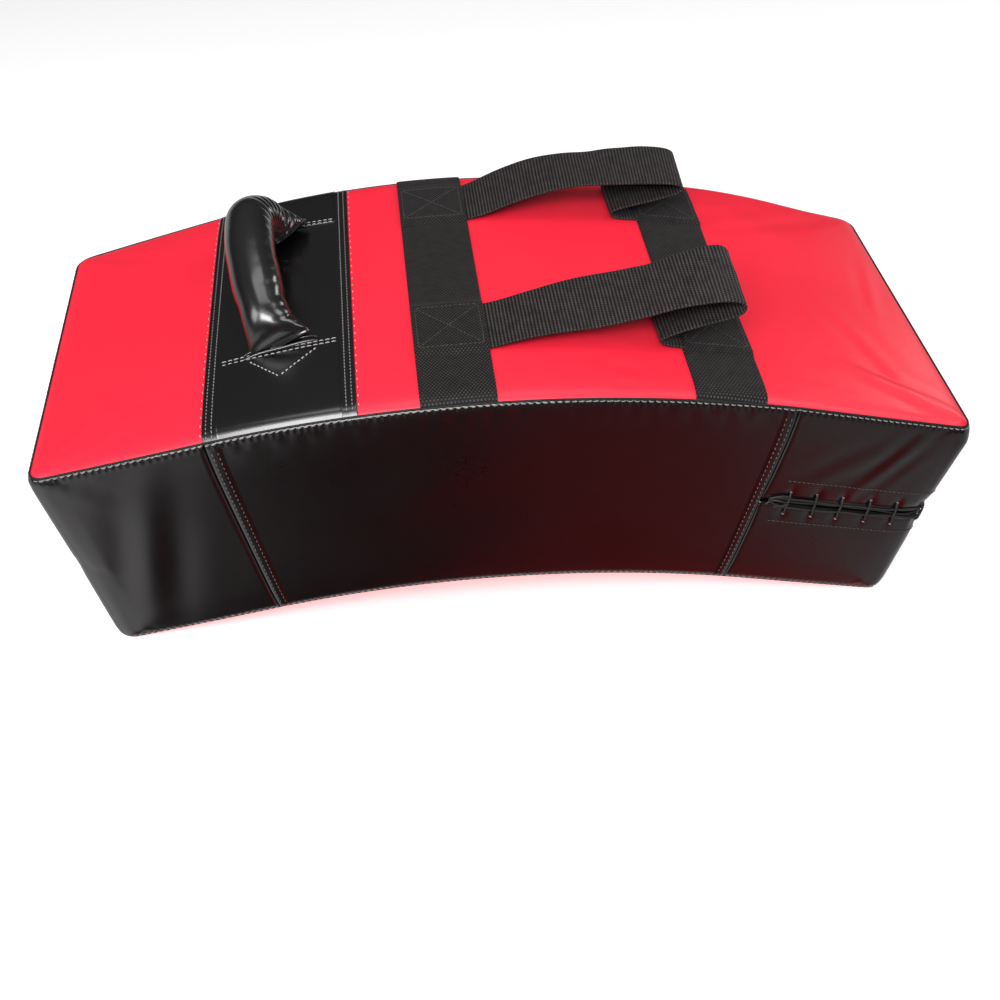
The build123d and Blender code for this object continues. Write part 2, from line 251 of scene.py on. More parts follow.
def slab(name, top, low, mat, uv=None):
    """Closed sheet between two nets of the same size."""
    n, m = top.shape[:2]
    V = np.concatenate([top.reshape(-1, 3), low.reshape(-1, 3)])
    F = [grid_faces(n, m), grid_faces(n, m, n * m, True)]
    idx = np.arange(n * m).reshape(n, m)
    ring = np.concatenate([idx[:-1, 0], idx[-1, :-1], idx[:0:-1, -1], idx[0, :0:-1]])
    nxt = np.roll(ring, -1)
    F.append(np.stack([ring, ring + n * m, nxt + n * m, nxt], -1)[:, ::-1])
    # grid faces run (i, j) -> (i+1, j): the ring starts along j = 0
    F = np.concatenate(F)
    if uv is not None:
        uv = np.concatenate([uv.reshape(-1, 2)] * 2)
    ob = make(name, V, F, mat, uv)
    fix_normals(ob)
    return ob


def fix_normals(ob):
    import bmesh

    bm = bmesh.new()
    bm.from_mesh(ob.data)
    bmesh.ops.recalc_face_normals(bm, faces=bm.faces)
    bm.to_mesh(ob.data)
    bm.free()


def tube(path, radius, sides=10, closed=False, squash_ends=False):
    """Vertices and faces of a round tube with domed ends along a path."""
    path = np.asarray(path, float)
    n = len(path)
    tan = np.gradient(path, axis=0)
    if closed:
        tan = np.roll(path, -1, 0) - np.roll(path, 1, 0)
    tan /= np.maximum(np.linalg.norm(tan, axis=1, keepdims=True), 1e-9)
    up = np.array([0.0, 0.0, 1.0]) if abs(tan[0][2]) < 0.9 else np.array([1.0, 0, 0])
    ref = np.cross(tan[0], up)
    ref /= np.linalg.norm(ref)
    refs = []
    for i in range(n):
        ref = ref - tan[i] * (ref @ tan[i])
        ref /= np.linalg.norm(ref)
        refs.append(ref.copy())
    refs = np.array(refs)
    oth = np.cross(tan, refs)
    rad = np.broadcast_to(np.asarray(radius, float), (n,)).copy()
    ang = np.linspace(0, 2 * math.pi, sides, endpoint=False)
    rings, centres, rr = [], list(path), list(rad)
    if not closed:
        r0, r1 = rad[0], rad[-1]
        pre = [(path[0] - tan[0] * r0 * 0.95, r0 * 0.3), (path[0] - tan[0] * r0 * 0.6, r0 * 0.8)]
        post = [(path[-1] + tan[-1] * r1 * 0.6, r1 * 0.8), (path[-1] + tan[-1] * r1 * 0.95, r1 * 0.3)]
        centres = [p for p, _ in pre] + centres + [p for p, _ in post]
        rr = [r for _, r in pre] + rr + [r for _, r in post]
        refs = np.concatenate([refs[:1], refs[:1], refs, refs[-1:], refs[-1:]])
        oth = np.concatenate([oth[:1], oth[:1], oth, oth[-1:], oth[-1:]])
    centres, rr = np.array(centres), np.array(rr)
    V = centres[:, None, :] + rr[:, None, None] * (np.cos(ang)[None, :, None] * refs[:, None, :] + np.sin(ang)[None, :, None] * oth[:, None, :])
    k = len(centres)
    F = []
    last = k if closed else k - 1
    for i in range(last):
        a, b = i * sides, ((i + 1) % k) * sides
        for j in range(sides):
            F.append((a + j, a + (j + 1) % sides, b + (j + 1) % sides, b + j))
    if not closed:
        F.append(tuple(range(sides))[::-1])
        F.append(tuple((k - 1) * sides + j for j in range(sides)))
    return V.reshape(-1, 3), F


def tubes(name, items, mat, sides=8):
    """One object of several tubes; items are (path, radius)."""
    V, F, off = [], [], 0
    for path, radius in items:
        v, f = tube(path, radius, sides)
        V.append(v)
        F += [tuple(i + off for i in q) for q in f]
        off += len(v)
    ob = make(name, np.concatenate(V), F, mat)
    fix_normals(ob)
    return ob


def resample(path, step):
    path = np.asarray(path, float)
    seg = np.linalg.norm(np.diff(path, axis=0), axis=1)
    c = np.concatenate([[0], np.cumsum(seg)])
    n = max(2, int(round(c[-1] / step)) + 1)
    t = np.linspace(0, c[-1], n)
    return np.stack([np.interp(t, c, path[:, k]) for k in range(path.shape[1])], -1)


def smooth_path(points, step, times=2):
    """Rounded, evenly spaced path through points (chord-length Catmull-Rom)."""
    pts = np.asarray(points, float)
    n = len(pts)
    t = np.linspace(0, n - 1, (n - 1) * 24 + 1)
    i = np.clip(np.floor(t).astype(int), 0, n - 2)
    w = catmull(t - i)
    ext = np.concatenate([[2 * pts[0] - pts[1]], pts, [2 * pts[-1] - pts[-2]]])
    out = sum(w[a][:, None] * ext[i + a] for a in range(4))
    out = resample(out, step)
    for _ in range(times):
        out[1:-1] = 0.25 * out[:-2] + 0.5 * out[1:-1] + 0.25 * out[2:]
    return out


def stitch_row(line, normals, pitch, length, radius, lift=0.15):
    """Stitches along a line on a surface: short threads that dive at both ends."""
    line, normals = np.asarray(line, float), np.asarray(normals, float)
    seg = np.linalg.norm(np.diff(line, axis=0), axis=1)
    c = np.concatenate([[0], np.cumsum(seg)])
    n = int(c[-1] / pitch)
    if n < 1:
        return []
    start = (c[-1] - n * pitch) / 2
    items = []
    for k in range(n):
        a = start + k * pitch + (pitch - length) / 2
        t = a + length * np.array([0.0, 0.2, 0.5, 0.8, 1.0])
        p = np.stack([np.interp(t, c, line[:, q]) for q in range(3)], -1)
        nn = np.stack([np.interp(t, c, normals[:, q]) for q in range(3)], -1)
        rise = np.array([-0.8, 0.4, 1.0, 0.4, -0.8]) * radius * 0.9 + lift
        items.append((p + nn * rise[:, None], np.array([0.75, 1, 1, 1, 0.75]) * radius))
    return items


# ---------------------------------------------------------------------------
# materials
# ---------------------------------------------------------------------------
def nodes_of(name):
    mat = bpy.data.materials.new(name)
    mat.use_nodes = True
    nt = mat.node_tree
    for n in list(nt.nodes):
        nt.nodes.remove(n)
    out = nt.nodes.new("ShaderNodeOutputMaterial")
    bsdf = nt.nodes.new("ShaderNodeBsdfPrincipled")
    nt.links.new(bsdf.outputs[0], out.inputs[0])
    return mat, nt, bsdf


def math_node(nt, op, a, b=None, c=None, clamp=False):
    n = nt.nodes.new("ShaderNodeMath")
    n.operation = op
    n.use_clamp = clamp
    for i, v in enumerate((a, b, c)):
        if v is None:
            continue
        if isinstance(v, (int, float)):
            n.inputs[i].default_value = v
        else:
            nt.links.new(v, n.inputs[i])
    return n.outputs[0]


def mix_color(nt, f, a, b):
    n = nt.nodes.new("ShaderNodeMix")
    n.data_type = "RGBA"
    for i, v in ((0, f), (6, a), (7, b)):
        if isinstance(v, (int, float)):
            n.inputs[i].default_value = v
        elif isinstance(v, (tuple, list)):
            n.inputs[i].default_value = (*v, 1)
        else:
            nt.links.new(v, n.inputs[i])
    return n.outputs[2]


def noise(nt, vec, scale, detail=3.0, rough=0.5):
    n = nt.nodes.new("ShaderNodeTexNoise")
    n.inputs["Scale"].default_value = scale
    n.inputs["Detail"].default_value = detail
    n.inputs["Roughness"].default_value = rough
    nt.links.new(vec, n.inputs["Vector"])
    return n.outputs["Fac"]


def leather(name, colour, dark, rough, spec, grain=0.12, coat=0.0, sheen=0.0, big=0.25):
    """Synthetic leather: fine pebble, soft undulation, uneven gloss."""
    mat, nt, bsdf = nodes_of(name)
    tc = nt.nodes.new("ShaderNodeTexCoord").outputs["Object"]
    blot = noise(nt, tc, 9.0, 3.0)
    fine = noise(nt, tc, 140.0, 2.5, 0.5)
    f = math_node(nt, "MULTIPLY_ADD", blot, 0.7, 0.0)
    f = math_node(nt, "MULTIPLY_ADD", fine, 0.35, f, clamp=True)
    nt.links.new(mix_color(nt, f, dark, colour), bsdf.inputs["Base Color"])
    r = math_node(nt, "MULTIPLY_ADD", noise(nt, tc, 16.0, 1.5), 0.10, rough - 0.05)
    r = math_node(nt, "MULTIPLY_ADD", fine, 0.06, math_node(nt, "SUBTRACT", r, 0.03), clamp=True)
    nt.links.new(r, bsdf.inputs["Roughness"])
    bsdf.inputs["Specular IOR Level"].default_value = spec
    bsdf.inputs["Coat Weight"].default_value = coat
    bsdf.inputs["Coat Roughness"].default_value = 0.20
    bsdf.inputs["Sheen Weight"].default_value = sheen
    bsdf.inputs["Sheen Roughness"].default_value = 0.5
    vor = nt.nodes.new("ShaderNodeTexVoronoi")
    vor.feature = "SMOOTH_F1"
    vor.inputs["Scale"].default_value = 900.0
    nt.links.new(tc, vor.inputs["Vector"])
    b1 = nt.nodes.new("ShaderNodeBump")
    b1.inputs["Strength"].default_value = grain
    b1.inputs["Distance"].default_value = 0.0004
    nt.links.new(vor.outputs["Distance"], b1.inputs["Height"])
    b2 = nt.nodes.new("ShaderNodeBump")
    b2.inputs["Strength"].default_value = big
    b2.inputs["Distance"].default_value = 0.0012
    nt.links.new(noise(nt, tc, 34.0, 2.0, 0.45), b2.inputs["Height"])
    nt.links.new(b1.outputs[0], b2.inputs["Normal"])
    nt.links.new(b2.outputs[0], bsdf.inputs["Normal"])
    return mat


def webbing(name, colour, light, rib, cross, cut):
    """Woven tape; uv is in centimetres along and across the tape."""
    mat, nt, bsdf = nodes_of(name)
    uv = nt.nodes.new("ShaderNodeTexCoord").outputs["UV"]
    sep = nt.nodes.new("ShaderNodeSeparateXYZ")
    nt.links.new(uv, sep.inputs[0])
    u = math_node(nt, "MULTIPLY", sep.outputs[0], 10.0)
    v = math_node(nt, "MULTIPLY", sep.outputs[1], 10.0)
    tc = nt.nodes.new("ShaderNodeTexCoord").outputs["Object"]
    wob = math_node(nt, "MULTIPLY_ADD", noise(nt, tc, 60.0, 2.0), 0.5, -0.25)
    u = math_node(nt, "ADD", u, wob)
    two = 2 * math.pi
    # ribs across the tape, each one a row of small bumps set off by half from its neighbour
    ru = math_node(nt, "MULTIPLY", u, two / rib)
    a = math_node(nt, "ABSOLUTE", math_node(nt, "SINE", math_node(nt, "MULTIPLY", ru, 0.5)))
    half = math_node(nt, "MULTIPLY", math_node(nt, "FLOOR", math_node(nt, "DIVIDE", u, rib)), math.pi)
    b = math_node(nt, "SINE", math_node(nt, "ADD", math_node(nt, "MULTIPLY", v, two / cross), half))
    h = math_node(nt, "MULTIPLY", a, math_node(nt, "MULTIPLY_ADD", b, cut, 1.0 - cut))
    fuzz = noise(nt, tc, 700.0, 3.0)
    h2 = math_node(nt, "MULTIPLY_ADD", fuzz, 0.25, h)
    # the colour is painted pale on the rib crests and dark in the valleys between them: painted sheen on the crests,
    # painted shade in the valleys
    crest_sheen_valley_shade = math_node(nt, "MULTIPLY", math_node(nt, "POWER", h, 2.6), math_node(nt, "MULTIPLY_ADD", noise(nt, tc, 160.0, 3.0), 1.9, 0.05), clamp=True)
    nt.links.new(mix_color(nt, crest_sheen_valley_shade, colour, light), bsdf.inputs["Base Color"])
    bsdf.inputs["Roughness"].default_value = 0.62
    bsdf.inputs["Specular IOR Level"].default_value = 0.25
    bsdf.inputs["Sheen Weight"].default_value = 0.03
    bsdf.inputs["Sheen Roughness"].default_value = 0.4
    bp = nt.nodes.new("ShaderNodeBump")
    bp.inputs["Strength"].default_value = 0.7
    bp.inputs["Distance"].default_value = 0.0005
    nt.links.new(h2, bp.inputs["Height"])
    nt.links.new(bp.outputs[0], bsdf.inputs["Normal"])
    return mat


def thread(name, colour, dark, rough=0.45):
    mat, nt, bsdf = nodes_of(name)
    tc = nt.nodes.new("ShaderNodeTexCoord").outputs["Object"]
    nt.links.new(mix_color(nt, noise(nt, tc, 900.0, 2.0), dark, colour), bsdf.inputs["Base Color"])
    bsdf.inputs["Roughness"].default_value = rough
    bp = nt.nodes.new("ShaderNodeBump")
    bp.inputs["Strength"].default_value = 0.5
    bp.inputs["Distance"].default_value = 0.0002
    nt.links.new(noise(nt, tc, 1500.0, 2.0), bp.inputs["Height"])
    nt.links.new(bp.outputs[0], bsdf.inputs["Normal"])
    return mat


def foam(name, colour, scale):
    mat, nt, bsdf = nodes_of(name)
    tc = nt.nodes.new("ShaderNodeTexCoord").outputs["Object"]
    n = noise(nt, tc, scale, 4.0)
    nt.links.new(mix_color(nt, n, tuple(c * 0.75 for c in colour), colour), bsdf.inputs["Base Color"])
    bsdf.inputs["Roughness"].default_value = 0.95
    bp = nt.nodes.new("ShaderNodeBump")
    bp.inputs["Strength"].default_value = 0.6
    bp.inputs["Distance"].default_value = 0.0006
    nt.links.new(n, bp.inputs["Height"])
    nt.links.new(bp.outputs[0], bsdf.inputs["Normal"])
    return mat


RED = leather("pu_red", (0.94, 0.024, 0.053), (0.87, 0.017, 0.042), 0.40, 0.42, grain=0.10, big=0.16)
BLACK = leather("pu_black", (0.0032, 0.0025, 0.0028), (0.0019, 0.0015, 0.0017), 0.30, 0.55, grain=0.03, big=0.14, coat=0.7)
BLACK_H = leather("pu_black_handle", (0.0080, 0.0074, 0.0078), (0.0055, 0.0050, 0.0052), 0.25, 0.6, grain=0.08, big=0.14, coat=0.8)
# the second colour of each tape is the painted sheen of its rib crests, the first the painted shade of its valleys
WEB_BASE = webbing("webbing_base", (0.0026, 0.0021, 0.0021), (0.070, 0.060, 0.058), 1.6, 2.3, 0.45)
WEB_LOOP = webbing("webbing_loop", (0.0022, 0.0018, 0.0018), (0.086, 0.072, 0.070), 2.3, 1.6, 0.22)
THREAD_LIGHT = thread("thread_light", (0.55, 0.52, 0.50), (0.32, 0.30, 0.29))
# pale rim thread: partly the seam thread, partly a painted highlight on the puckered seam edge
RIM_THREAD_GLINT = thread("thread_rim_glint", (0.30, 0.285, 0.28), (0.10, 0.095, 0.094), 0.30)
THREAD_MID = thread("thread_grey", (0.26, 0.25, 0.245), (0.13, 0.125, 0.12))
THREAD_DIM = thread("thread_dim", (0.13, 0.115, 0.112), (0.05, 0.045, 0.044))
THREAD_DARK = thread("thread_dark", (0.045, 0.042, 0.041), (0.02, 0.019, 0.019))
LACE = thread("lace_cord", (0.022, 0.020, 0.020), (0.008, 0.007, 0.007), 0.6)
GROOVE = thread("seam_dark", (0.006, 0.005, 0.005), (0.003, 0.003, 0.003), 0.7)
FOAM_A = foam("foam_sponge", (0.85, 0.80, 0.62), 420.0)
FOAM_B = foam("foam_core", (0.82, 0.82, 0.80), 260.0)
FOAM_C = foam("foam_dense", (0.09, 0.09, 0.10), 600.0)

# ---------------------------------------------------------------------------
# the stuffed cover: a closed net, blown up between its seams
# ---------------------------------------------------------------------------
TB = face_base(S_C[:, None], B_C[None, :])
UB = face_base(S_C[:, None], B_C[None, :], under=True)
sb_s, sb_b = LOOP_S[:-1], LOOP_B[:-1]
SB, _ = side_base(sb_s[None, :], sb_b[None, :], D_C[:, None])


def blow_up():
    nt_ = (NS + 1) * (NB + 1)
    V = np.concatenate([TB.reshape(-1, 3), UB.reshape(-1, 3), SB[1:-1].reshape(-1, 3)])
    top_i = lambda i, j: i * (NB + 1) + j
    F = grid_faces(NS + 1, NB + 1).tolist()
    F += grid_faces(NS + 1, NB + 1, nt_, True).tolist()
    rings = [[top_i(i, j) for i, j in LOOP_IJ]]
    for k in range(ND - 1):
        rings.append([2 * nt_ + k * NL + q for q in range(NL)])
    rings.append([nt_ + top_i(i, j) for i, j in LOOP_IJ])
    for a, b in zip(rings, rings[1:]):
        for q in range(NL):
            r = (q + 1) % NL
            F.append([a[q], a[r], b[r], b[q]])
    ob = make("cover_net", V, F, None)
    fix_normals(ob)
    pins = ob.vertex_groups.new(name="pins")
    pins.add(rings[0] + rings[-1], 1.0, "REPLACE")
    # cloth with inner pressure, the same stiffness all over the net
    mod = ob.modifiers.new("Cloth", "CLOTH")
    cs = mod.settings
    cs.quality = 6
    cs.mass = 0.35
    cs.tension_stiffness = cs.compression_stiffness = 22
    cs.shear_stiffness = 9
    cs.bending_stiffness = 1.2
    cs.tension_damping = cs.compression_damping = cs.shear_damping = 12
    cs.air_damping = 3
    cs.use_pressure = True
    cs.uniform_pressure_force = 4.0
    cs.vertex_group_mass = "pins"
    cs.pin_stiffness = 1.0
    cs.effector_weights.gravity = 0.0
    mod.collision_settings.use_collision = False
    sc = bpy.context.scene
    mod.point_cache.frame_start, mod.point_cache.frame_end = 1, 24
    for f in range(1, 21):
        sc.frame_set(f)
    dg = bpy.context.evaluated_depsgraph_get()
    ev = ob.evaluated_get(dg).to_mesh()
    co = np.zeros(len(ev.vertices) * 3, np.float32)
    ev.vertices.foreach_get("co", co)
    N = co.reshape(-1, 3).astype(float) * 1000
    sc.frame_set(1)
    bpy.data.objects.remove(ob)
    D = N - V
    size = np.linalg.norm(D, axis=1, keepdims=True)
    print("SIM move mm: max %.2f mean %.2f" % (size.max(), size.mean()))
    cap = 3.2
    D = D / np.maximum(size, 1e-9) * (cap * np.tanh(size / cap))
    dT = 0.5 * D[:nt_].reshape(NS + 1, NB + 1, 3)
    dU = D[nt_ : 2 * nt_].reshape(NS + 1, NB + 1, 3)
    dS = np.zeros((ND + 1, NL, 3))
    dS[1:-1] = 0.55 * D[2 * nt_ :].reshape(ND - 1, NL, 3)
    return dT, dU, dS


DT, DU, DS = blow_up()


def ripple(s, y, s0, y0, ls, ly, ang, pitch, amp):
    """A few soft creases around a point."""
    ds, dy = s - s0, y - y0
    c, q = math.cos(ang), math.sin(ang)
    a, b = ds * c + dy * q, -ds * q + dy * c
    return amp * np.cos(2 * math.pi * a / pitch) * np.exp(-((a / ls) ** 2) - (b / ly) ** 2)


def top_lift(s, y):
    h = ripple(s, y, 255, -60, 22, 48, 0.35, 24, 0.45)
    h = h + ripple(s, y, 285, 20, 16, 40, -0.2, 20, 0.35)
    h = h + ripple(s, y, 262, -106, 17, 40, 1.12, 24, 1.35)
    h = h + ripple(s, y, 212, -120, 10, 30, 1.30, 17, 0.6)
    h = h + ripple(s, y, 70, -122, 60, 9, 1.45, 19, 0.35)
    h = h + ripple(s, y, -255, -90, 25, 40, 0.8, 34, 0.35)
    h = h + ripple(s, y, 30, 30, 60, 60, 0.1, 80, 0.5)
    h = h + ripple(s, y, 200, 90, 40, 40, 0.9, 55, 0.4)
    return h


def top_pos(s, b):
    s, b = np.broadcast_arrays(np.asarray(s, float), np.asarray(b, float))
    p = face_base(s, b)
    fi = np.interp(s, S_C, np.arange(NS + 1))
    fj = np.interp(b, B_C, np.arange(NB + 1))
    p = p + sample(DT, fi, fj)
    s2, y2, e, _, _ = plan(s, b, INSET)
    _, _, nx, nz = back(s2)
    h = top_lift(s2, y2) * sstep(e / 12)
    p = p + h[..., None] * np.stack([nx, 0 * nx, nz], -1)
    p[..., 2] = np.maximum(p[..., 2], 0.05)
    return p


def under_pos(s, b):
    s, b = np.broadcast_arrays(np.asarray(s, float), np.asarray(b, float))
    p = face_base(s, b, under=True)
    fi = np.interp(s, S_C, np.arange(NS + 1))
    fj = np.interp(b, B_C, np.arange(NB + 1))
    p = p + sample(DU, fi, fj)
    p[..., 2] = np.maximum(p[..., 2], 0.05)
    return p


def rim_length():
    t = np.linspace(0, NL, NL * 8 + 1)
    s, b = loop_sb(t)
    s2, y2, *_ = plan(s, b, 0.0)
    q = P(s2, y2, 0)
    c = np.concatenate([[0], np.cumsum(np.linalg.norm(np.diff(q, axis=0), axis=1))])
    return t, c


RIM_T, RIM_C = rim_length()
SEAMS_T = [loop_t("front", SEAM_L), loop_t("front", SEAM_R), loop_t("rear", SEAM_L), loop_t("rear", SEAM_R)]
PUCKER = 4.6


def side_pos(t, d, lips=True):
    """Point of the side wall at place t on the rim and depth d."""
    t, d = np.broadcast_arrays(np.asarray(t, float), np.asarray(d, float))
    s, b = loop_sb(t)
    p, out = side_base(s, b, d)
    fi = np.interp(d, D_C, np.arange(ND + 1))
    p = p + sample(DS, fi, np.mod(t, NL), wrap=True)
    c = np.interp(np.mod(t, NL), RIM_T, RIM_C)
    ed = np.minimum(d, TH - d) - INSET
    # small gathers where the seam thread pulls the edge in
    wob = 0.8 * np.sin(c / 23.0) + 0.6 * np.sin(c / 9.7 + 1)
    g = (0.5 + 0.5 * np.cos(2 * math.pi * (c + wob) / PUCKER)) ** 1.5
    o = -0.75 * g * np.exp(-((ed - 1.3) / 1.5) ** 2) * sstep(ed / 0.5)
    # radial seams: a groove, with a folded hem on the middle panel's side
    for k, ts in enumerate(SEAMS_T):
        cs = np.interp(ts, RIM_T, RIM_C)
        q = (c - cs) * (1 if k in (0, 3) else -1)
        o = o - 0.9 * np.exp(-((q / 1.3) ** 2)) + 0.45 * sstep((q - 0.5) / 1.0) * sstep((9.0 - q) / 1.2)
    # soft folds in the end walls
    fold = 0
    for c0, d0, lc, ld, ang, pitch, amp in FOLDS:
        fold = fold + ripple(c, d, c0, d0, lc, ld, ang, pitch, amp)
    o = o + fold * sstep(ed / 10)
    if lips:
        m = in_right_end(c)
        e2 = np.abs(d - SLIT) - 1.4
        o = o + m * (-1.6 * np.exp(-((d - SLIT) / 15.0) ** 2) - 1.7 * (1 - roll(e2 / 2.6)) - 0.55 * np.exp(-(((np.abs(d - SLIT) - 5.2) / 0.9) ** 2)))
        for cb in BAR_C:
            o = o - m * 0.9 * np.exp(-(((c - cb) / 3.0) ** 2)) * (np.exp(-(((d - SLIT + 9.0) / 3.0) ** 2)) + np.exp(-(((d - SLIT - 8.5) / 3.0) ** 2)))
    p = p + o[..., None] * out
    p[..., 2] = np.maximum(p[..., 2], 0.05)
    return p, out


def c_of(side, v):
    return float(np.interp(loop_t(side, v), RIM_T, RIM_C))


C_R0, C_R1 = c_of("front", SEAM_R), c_of("rear", SEAM_R)


def in_right_end(c):
    return ((c > C_R0 - 0.01) & (c < C_R1 + 0.01)).astype(float)


BAR_FRONT = [202.0, 221.5, 241.0, 262.0, 282.5]
BAR_C = [c_of("front", v) for v in BAR_FRONT]
n_end = 13
c_a, c_b = c_of("front", 282.5), c_of("rear", 282.5)
BAR_C += list(np.linspace(c_a, c_b, n_end + 2)[1:-1])
BAR_C += [c_of("rear", v) for v in BAR_FRONT[::-1]]
C_CORNER = c_of("right", -1.0)
FOLDS = [
    (C_CORNER - 40, 26, 14, 34, 0.55, 17, 0.8),
    (C_CORNER - 75, 40, 18, 26, 0.9, 22, 0.55),
    (C_CORNER + 14, 40, 11, 40, 0.15, 16, 0.6),
    (C_CORNER + 120, 30, 40, 30, 1.2, 30, 0.5),
    (c_of("front", -260), 80, 26, 60, 0.35, 46, 0.9),
    (c_of("front", -60), 60, 70, 60, 1.35, 70, 0.5),
    (c_of("left", 0.2), 60, 50, 50, 0.9, 60, 0.8),
]


def normals_at(fn, a, b, da=0.02, db=0.02):
    """Outward normals of a surface function at parameter points."""
    p = fn(a, b)
    u = fn(a + da, b) - fn(a - da, b)
    v = fn(a, b + db) - fn(a, b - db)
    n = np.cross(u, v)
    return p, n / np.maximum(np.linalg.norm(n, axis=-1, keepdims=True), 1e-12)


def fringe(lo, hi, step, near=(0.0, 0.15, 0.5, 1.1, 2.0, 3.2, 4.8, 6.8, 9.2)):
    """Positions from lo to hi, close together at both ends."""
    a = [lo + v for v in near]
    z = [hi - v for v in near[::-1]]
    mid = spans([a[-1], z[0]], step)
    return np.concatenate([a[:-1], mid, z[1:]])


B_F = fringe(-138.5, 138.5, 3.0) / 138.5


def panel(name, fn, s_arr, mat, lift=0.0, thick=1.3, fade=True, b_arr=None, sign=1.0):
    b_arr = B_F if b_arr is None else b_arr
    G = fn(s_arr[:, None], b_arr[None, :])
    N = grid_normals(G) * sign
    # near the plan's rounded rim the lift along the normals fades down to a quarter; the
    # plan's rounded corners fold the net
    e = plan(s_arr[:, None] * np.ones_like(b_arr)[None, :], b_arr[None, :] * np.ones_like(s_arr)[:, None], INSET)[2]
    f = sstep(e / 4.0) if fade else np.ones_like(e)
    top = G + N * (lift * (0.25 + 0.75 * f))[..., None]
    low = top - N * thick
    top[..., 2] = np.maximum(top[..., 2], 0.05)
    low[..., 2] = np.maximum(low[..., 2], 0.06)
    ob = slab(name, top, low, mat)
    return ob


def pad_piece(ob, slot_name, *nodes, padded=None):
    if nodes:
        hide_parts(*nodes)
    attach(ob, "pad")
    return ob


# faces of the cover
s_left = np.concatenate([fringe(-Lc, BAND0 + 7.0, 3.0)])
s_main = fringe(BAND1 - 7.0, Lc, 3.0)
pad_piece(panel("back_cover_left", top_pos, s_left, RED), "pu_red", "back_panel_left", padded=0.9)
pad_piece(panel("back_cover_main", top_pos, s_main, RED), "pu_red", "back_panel_main", padded=0.9)
s_band = fringe(BAND0, BAND1, 2.4, near=(0.0, 0.25, 0.8, 1.6))


def band_pos(s, b):
    """The band, folded under at both long sides, over the red panels."""
    s, b = np.broadcast_arrays(np.asarray(s, float), np.asarray(b, float))
    p = top_pos(s, b)
    e = np.minimum(s - BAND0, BAND1 - s)
    h = 0.35 + 0.75 * roll(e / 0.9) - 0.30 * sstep((e - 9.0) / 1.0)
    for row in (2.9, 6.5):
        h = h - 0.28 * np.exp(-(((e - row) / 0.7) ** 2))
    s2, y2, ee, _, _ = plan(s, b, INSET)
    h = h * (0.3 + 0.7 * sstep(ee / 4.0))
    _, _, nx, nz = back(s2)
    return p + h[..., None] * np.stack([nx, 0 * nx, nz], -1)


def near_line(s):
    """The near patch's edge runs a little askew."""
    return -59.4 - (-101.0 - s) * 0.059


def near_patch_pos(s, b):
    p = band_pos(s, b)
    s2, y2, ee, _, _ = plan(s, b, INSET)
    e = near_line(s2) - y2
    h = 0.75 * roll(np.clip(e, 0, None) / 1.2) * (0.3 + 0.7 * sstep(ee / 4.0))
    for row in (2.0, 5.0):
        h = h - 0.25 * np.exp(-(((e - row) / 0.7) ** 2))
    _, _, nx, nz = back(s2)
    return p + h[..., None] * np.stack([nx, 0 * nx, nz], -1)


def far_patch_pos(s, b):
    p = band_pos(s, b)
    s2, y2, ee, _, _ = plan(s, b, INSET)
    e = y2 - 85.5
    h = 0.75 * roll(np.clip(e, 0, None) / 1.2) * (0.3 + 0.7 * sstep(ee / 4.0))
    for row in (2.0, 5.0):
        h = h - 0.25 * np.exp(-(((e - row) / 0.7) ** 2))
    _, _, nx, nz = back(s2)
    return p + h[..., None] * np.stack([nx, 0 * nx, nz], -1)


pad_piece(panel("handle_band_cover", band_pos, s_band, BLACK, thick=0.9, fade=False), "pu_black", "handle_band", padded=0.8)
w_b = float(half_width(np.array(-146.0))) - INSET
w_f = float(half_width(np.array(-146.0), 1.0)) - INSET
b_far = np.concatenate([[85.5 / w_f, 85.7 / w_f, 86.1 / w_f, 86.7 / w_f, 87.5 / w_f], B_F[B_F > 88.5 / w_f]])
s_patch = fringe(BAND0 + 9.4, BAND1 - 9.4, 2.4, near=(0.0, 0.25, 0.8, 1.6))
q_near = np.concatenate([fringe(0.0, 1.0, 0.04, near=(0.0, 0.004, 0.01, 0.02, 0.035, 0.06, 0.09))])


def near_patch_net(s, q):
    # q runs from the rim to the patch's own slanting edge
    s, q = np.broadcast_arrays(s, q)
    return near_patch_pos(s, -1.0 + q * (1.0 + near_line(s) / w_b))


pad_piece(panel("handle_patch_near_cover", near_patch_net, s_patch, BLACK, thick=0.7, fade=False, b_arr=q_near), "pu_black", "handle_patch_near", padded=0.6)
pad_piece(panel("handle_patch_far_cover", far_patch_pos, s_patch, BLACK, thick=0.7, fade=False, b_arr=b_far), "pu_black", "handle_patch_far", padded=0.6)
s_all = fringe(-Lc, Lc, 4.0)
pad_piece(panel("strike_cover", under_pos, s_all, RED, sign=-1.0), "pu_red", "strike_panel", padded=0.9)


def wall(name, t0, t1, d0, d1, mat, cut0=False, cut1=False):
    c0, c1 = np.interp(t0, RIM_T, RIM_C), np.interp(t1, RIM_T, RIM_C)
    n = int((c1 - c0) / 1.35)
    t = np.interp(np.linspace(c0, c1, n + 1), RIM_C, RIM_T)
    rim = [0, 0.1, 0.35, 0.75, 1.3, 2.0, 2.8, 3.8, 5.0, 6.6, 8.6, 11.2]
    lip = [0, 0.15, 0.5, 1.1, 1.9, 2.8, 3.4, 4.0, 4.8, 6.0, 8.0, 10.5]
    a = [d0 + v for v in (lip if cut0 else rim)]
    z = [d1 - v for v in (lip if cut1 else rim)][::-1]
    d = np.concatenate([a[:-1], spans([a[-1], z[0]], 4.5), z[1:]])
    G, out = side_pos(t[:, None], d[None, :])
    N = grid_normals(G)
    if (N * out).sum() < 0:
        N = -N
    low = G - N * 1.3
    low[..., 2] = np.maximum(low[..., 2], 0.06)
    return slab(name, G, low, mat)


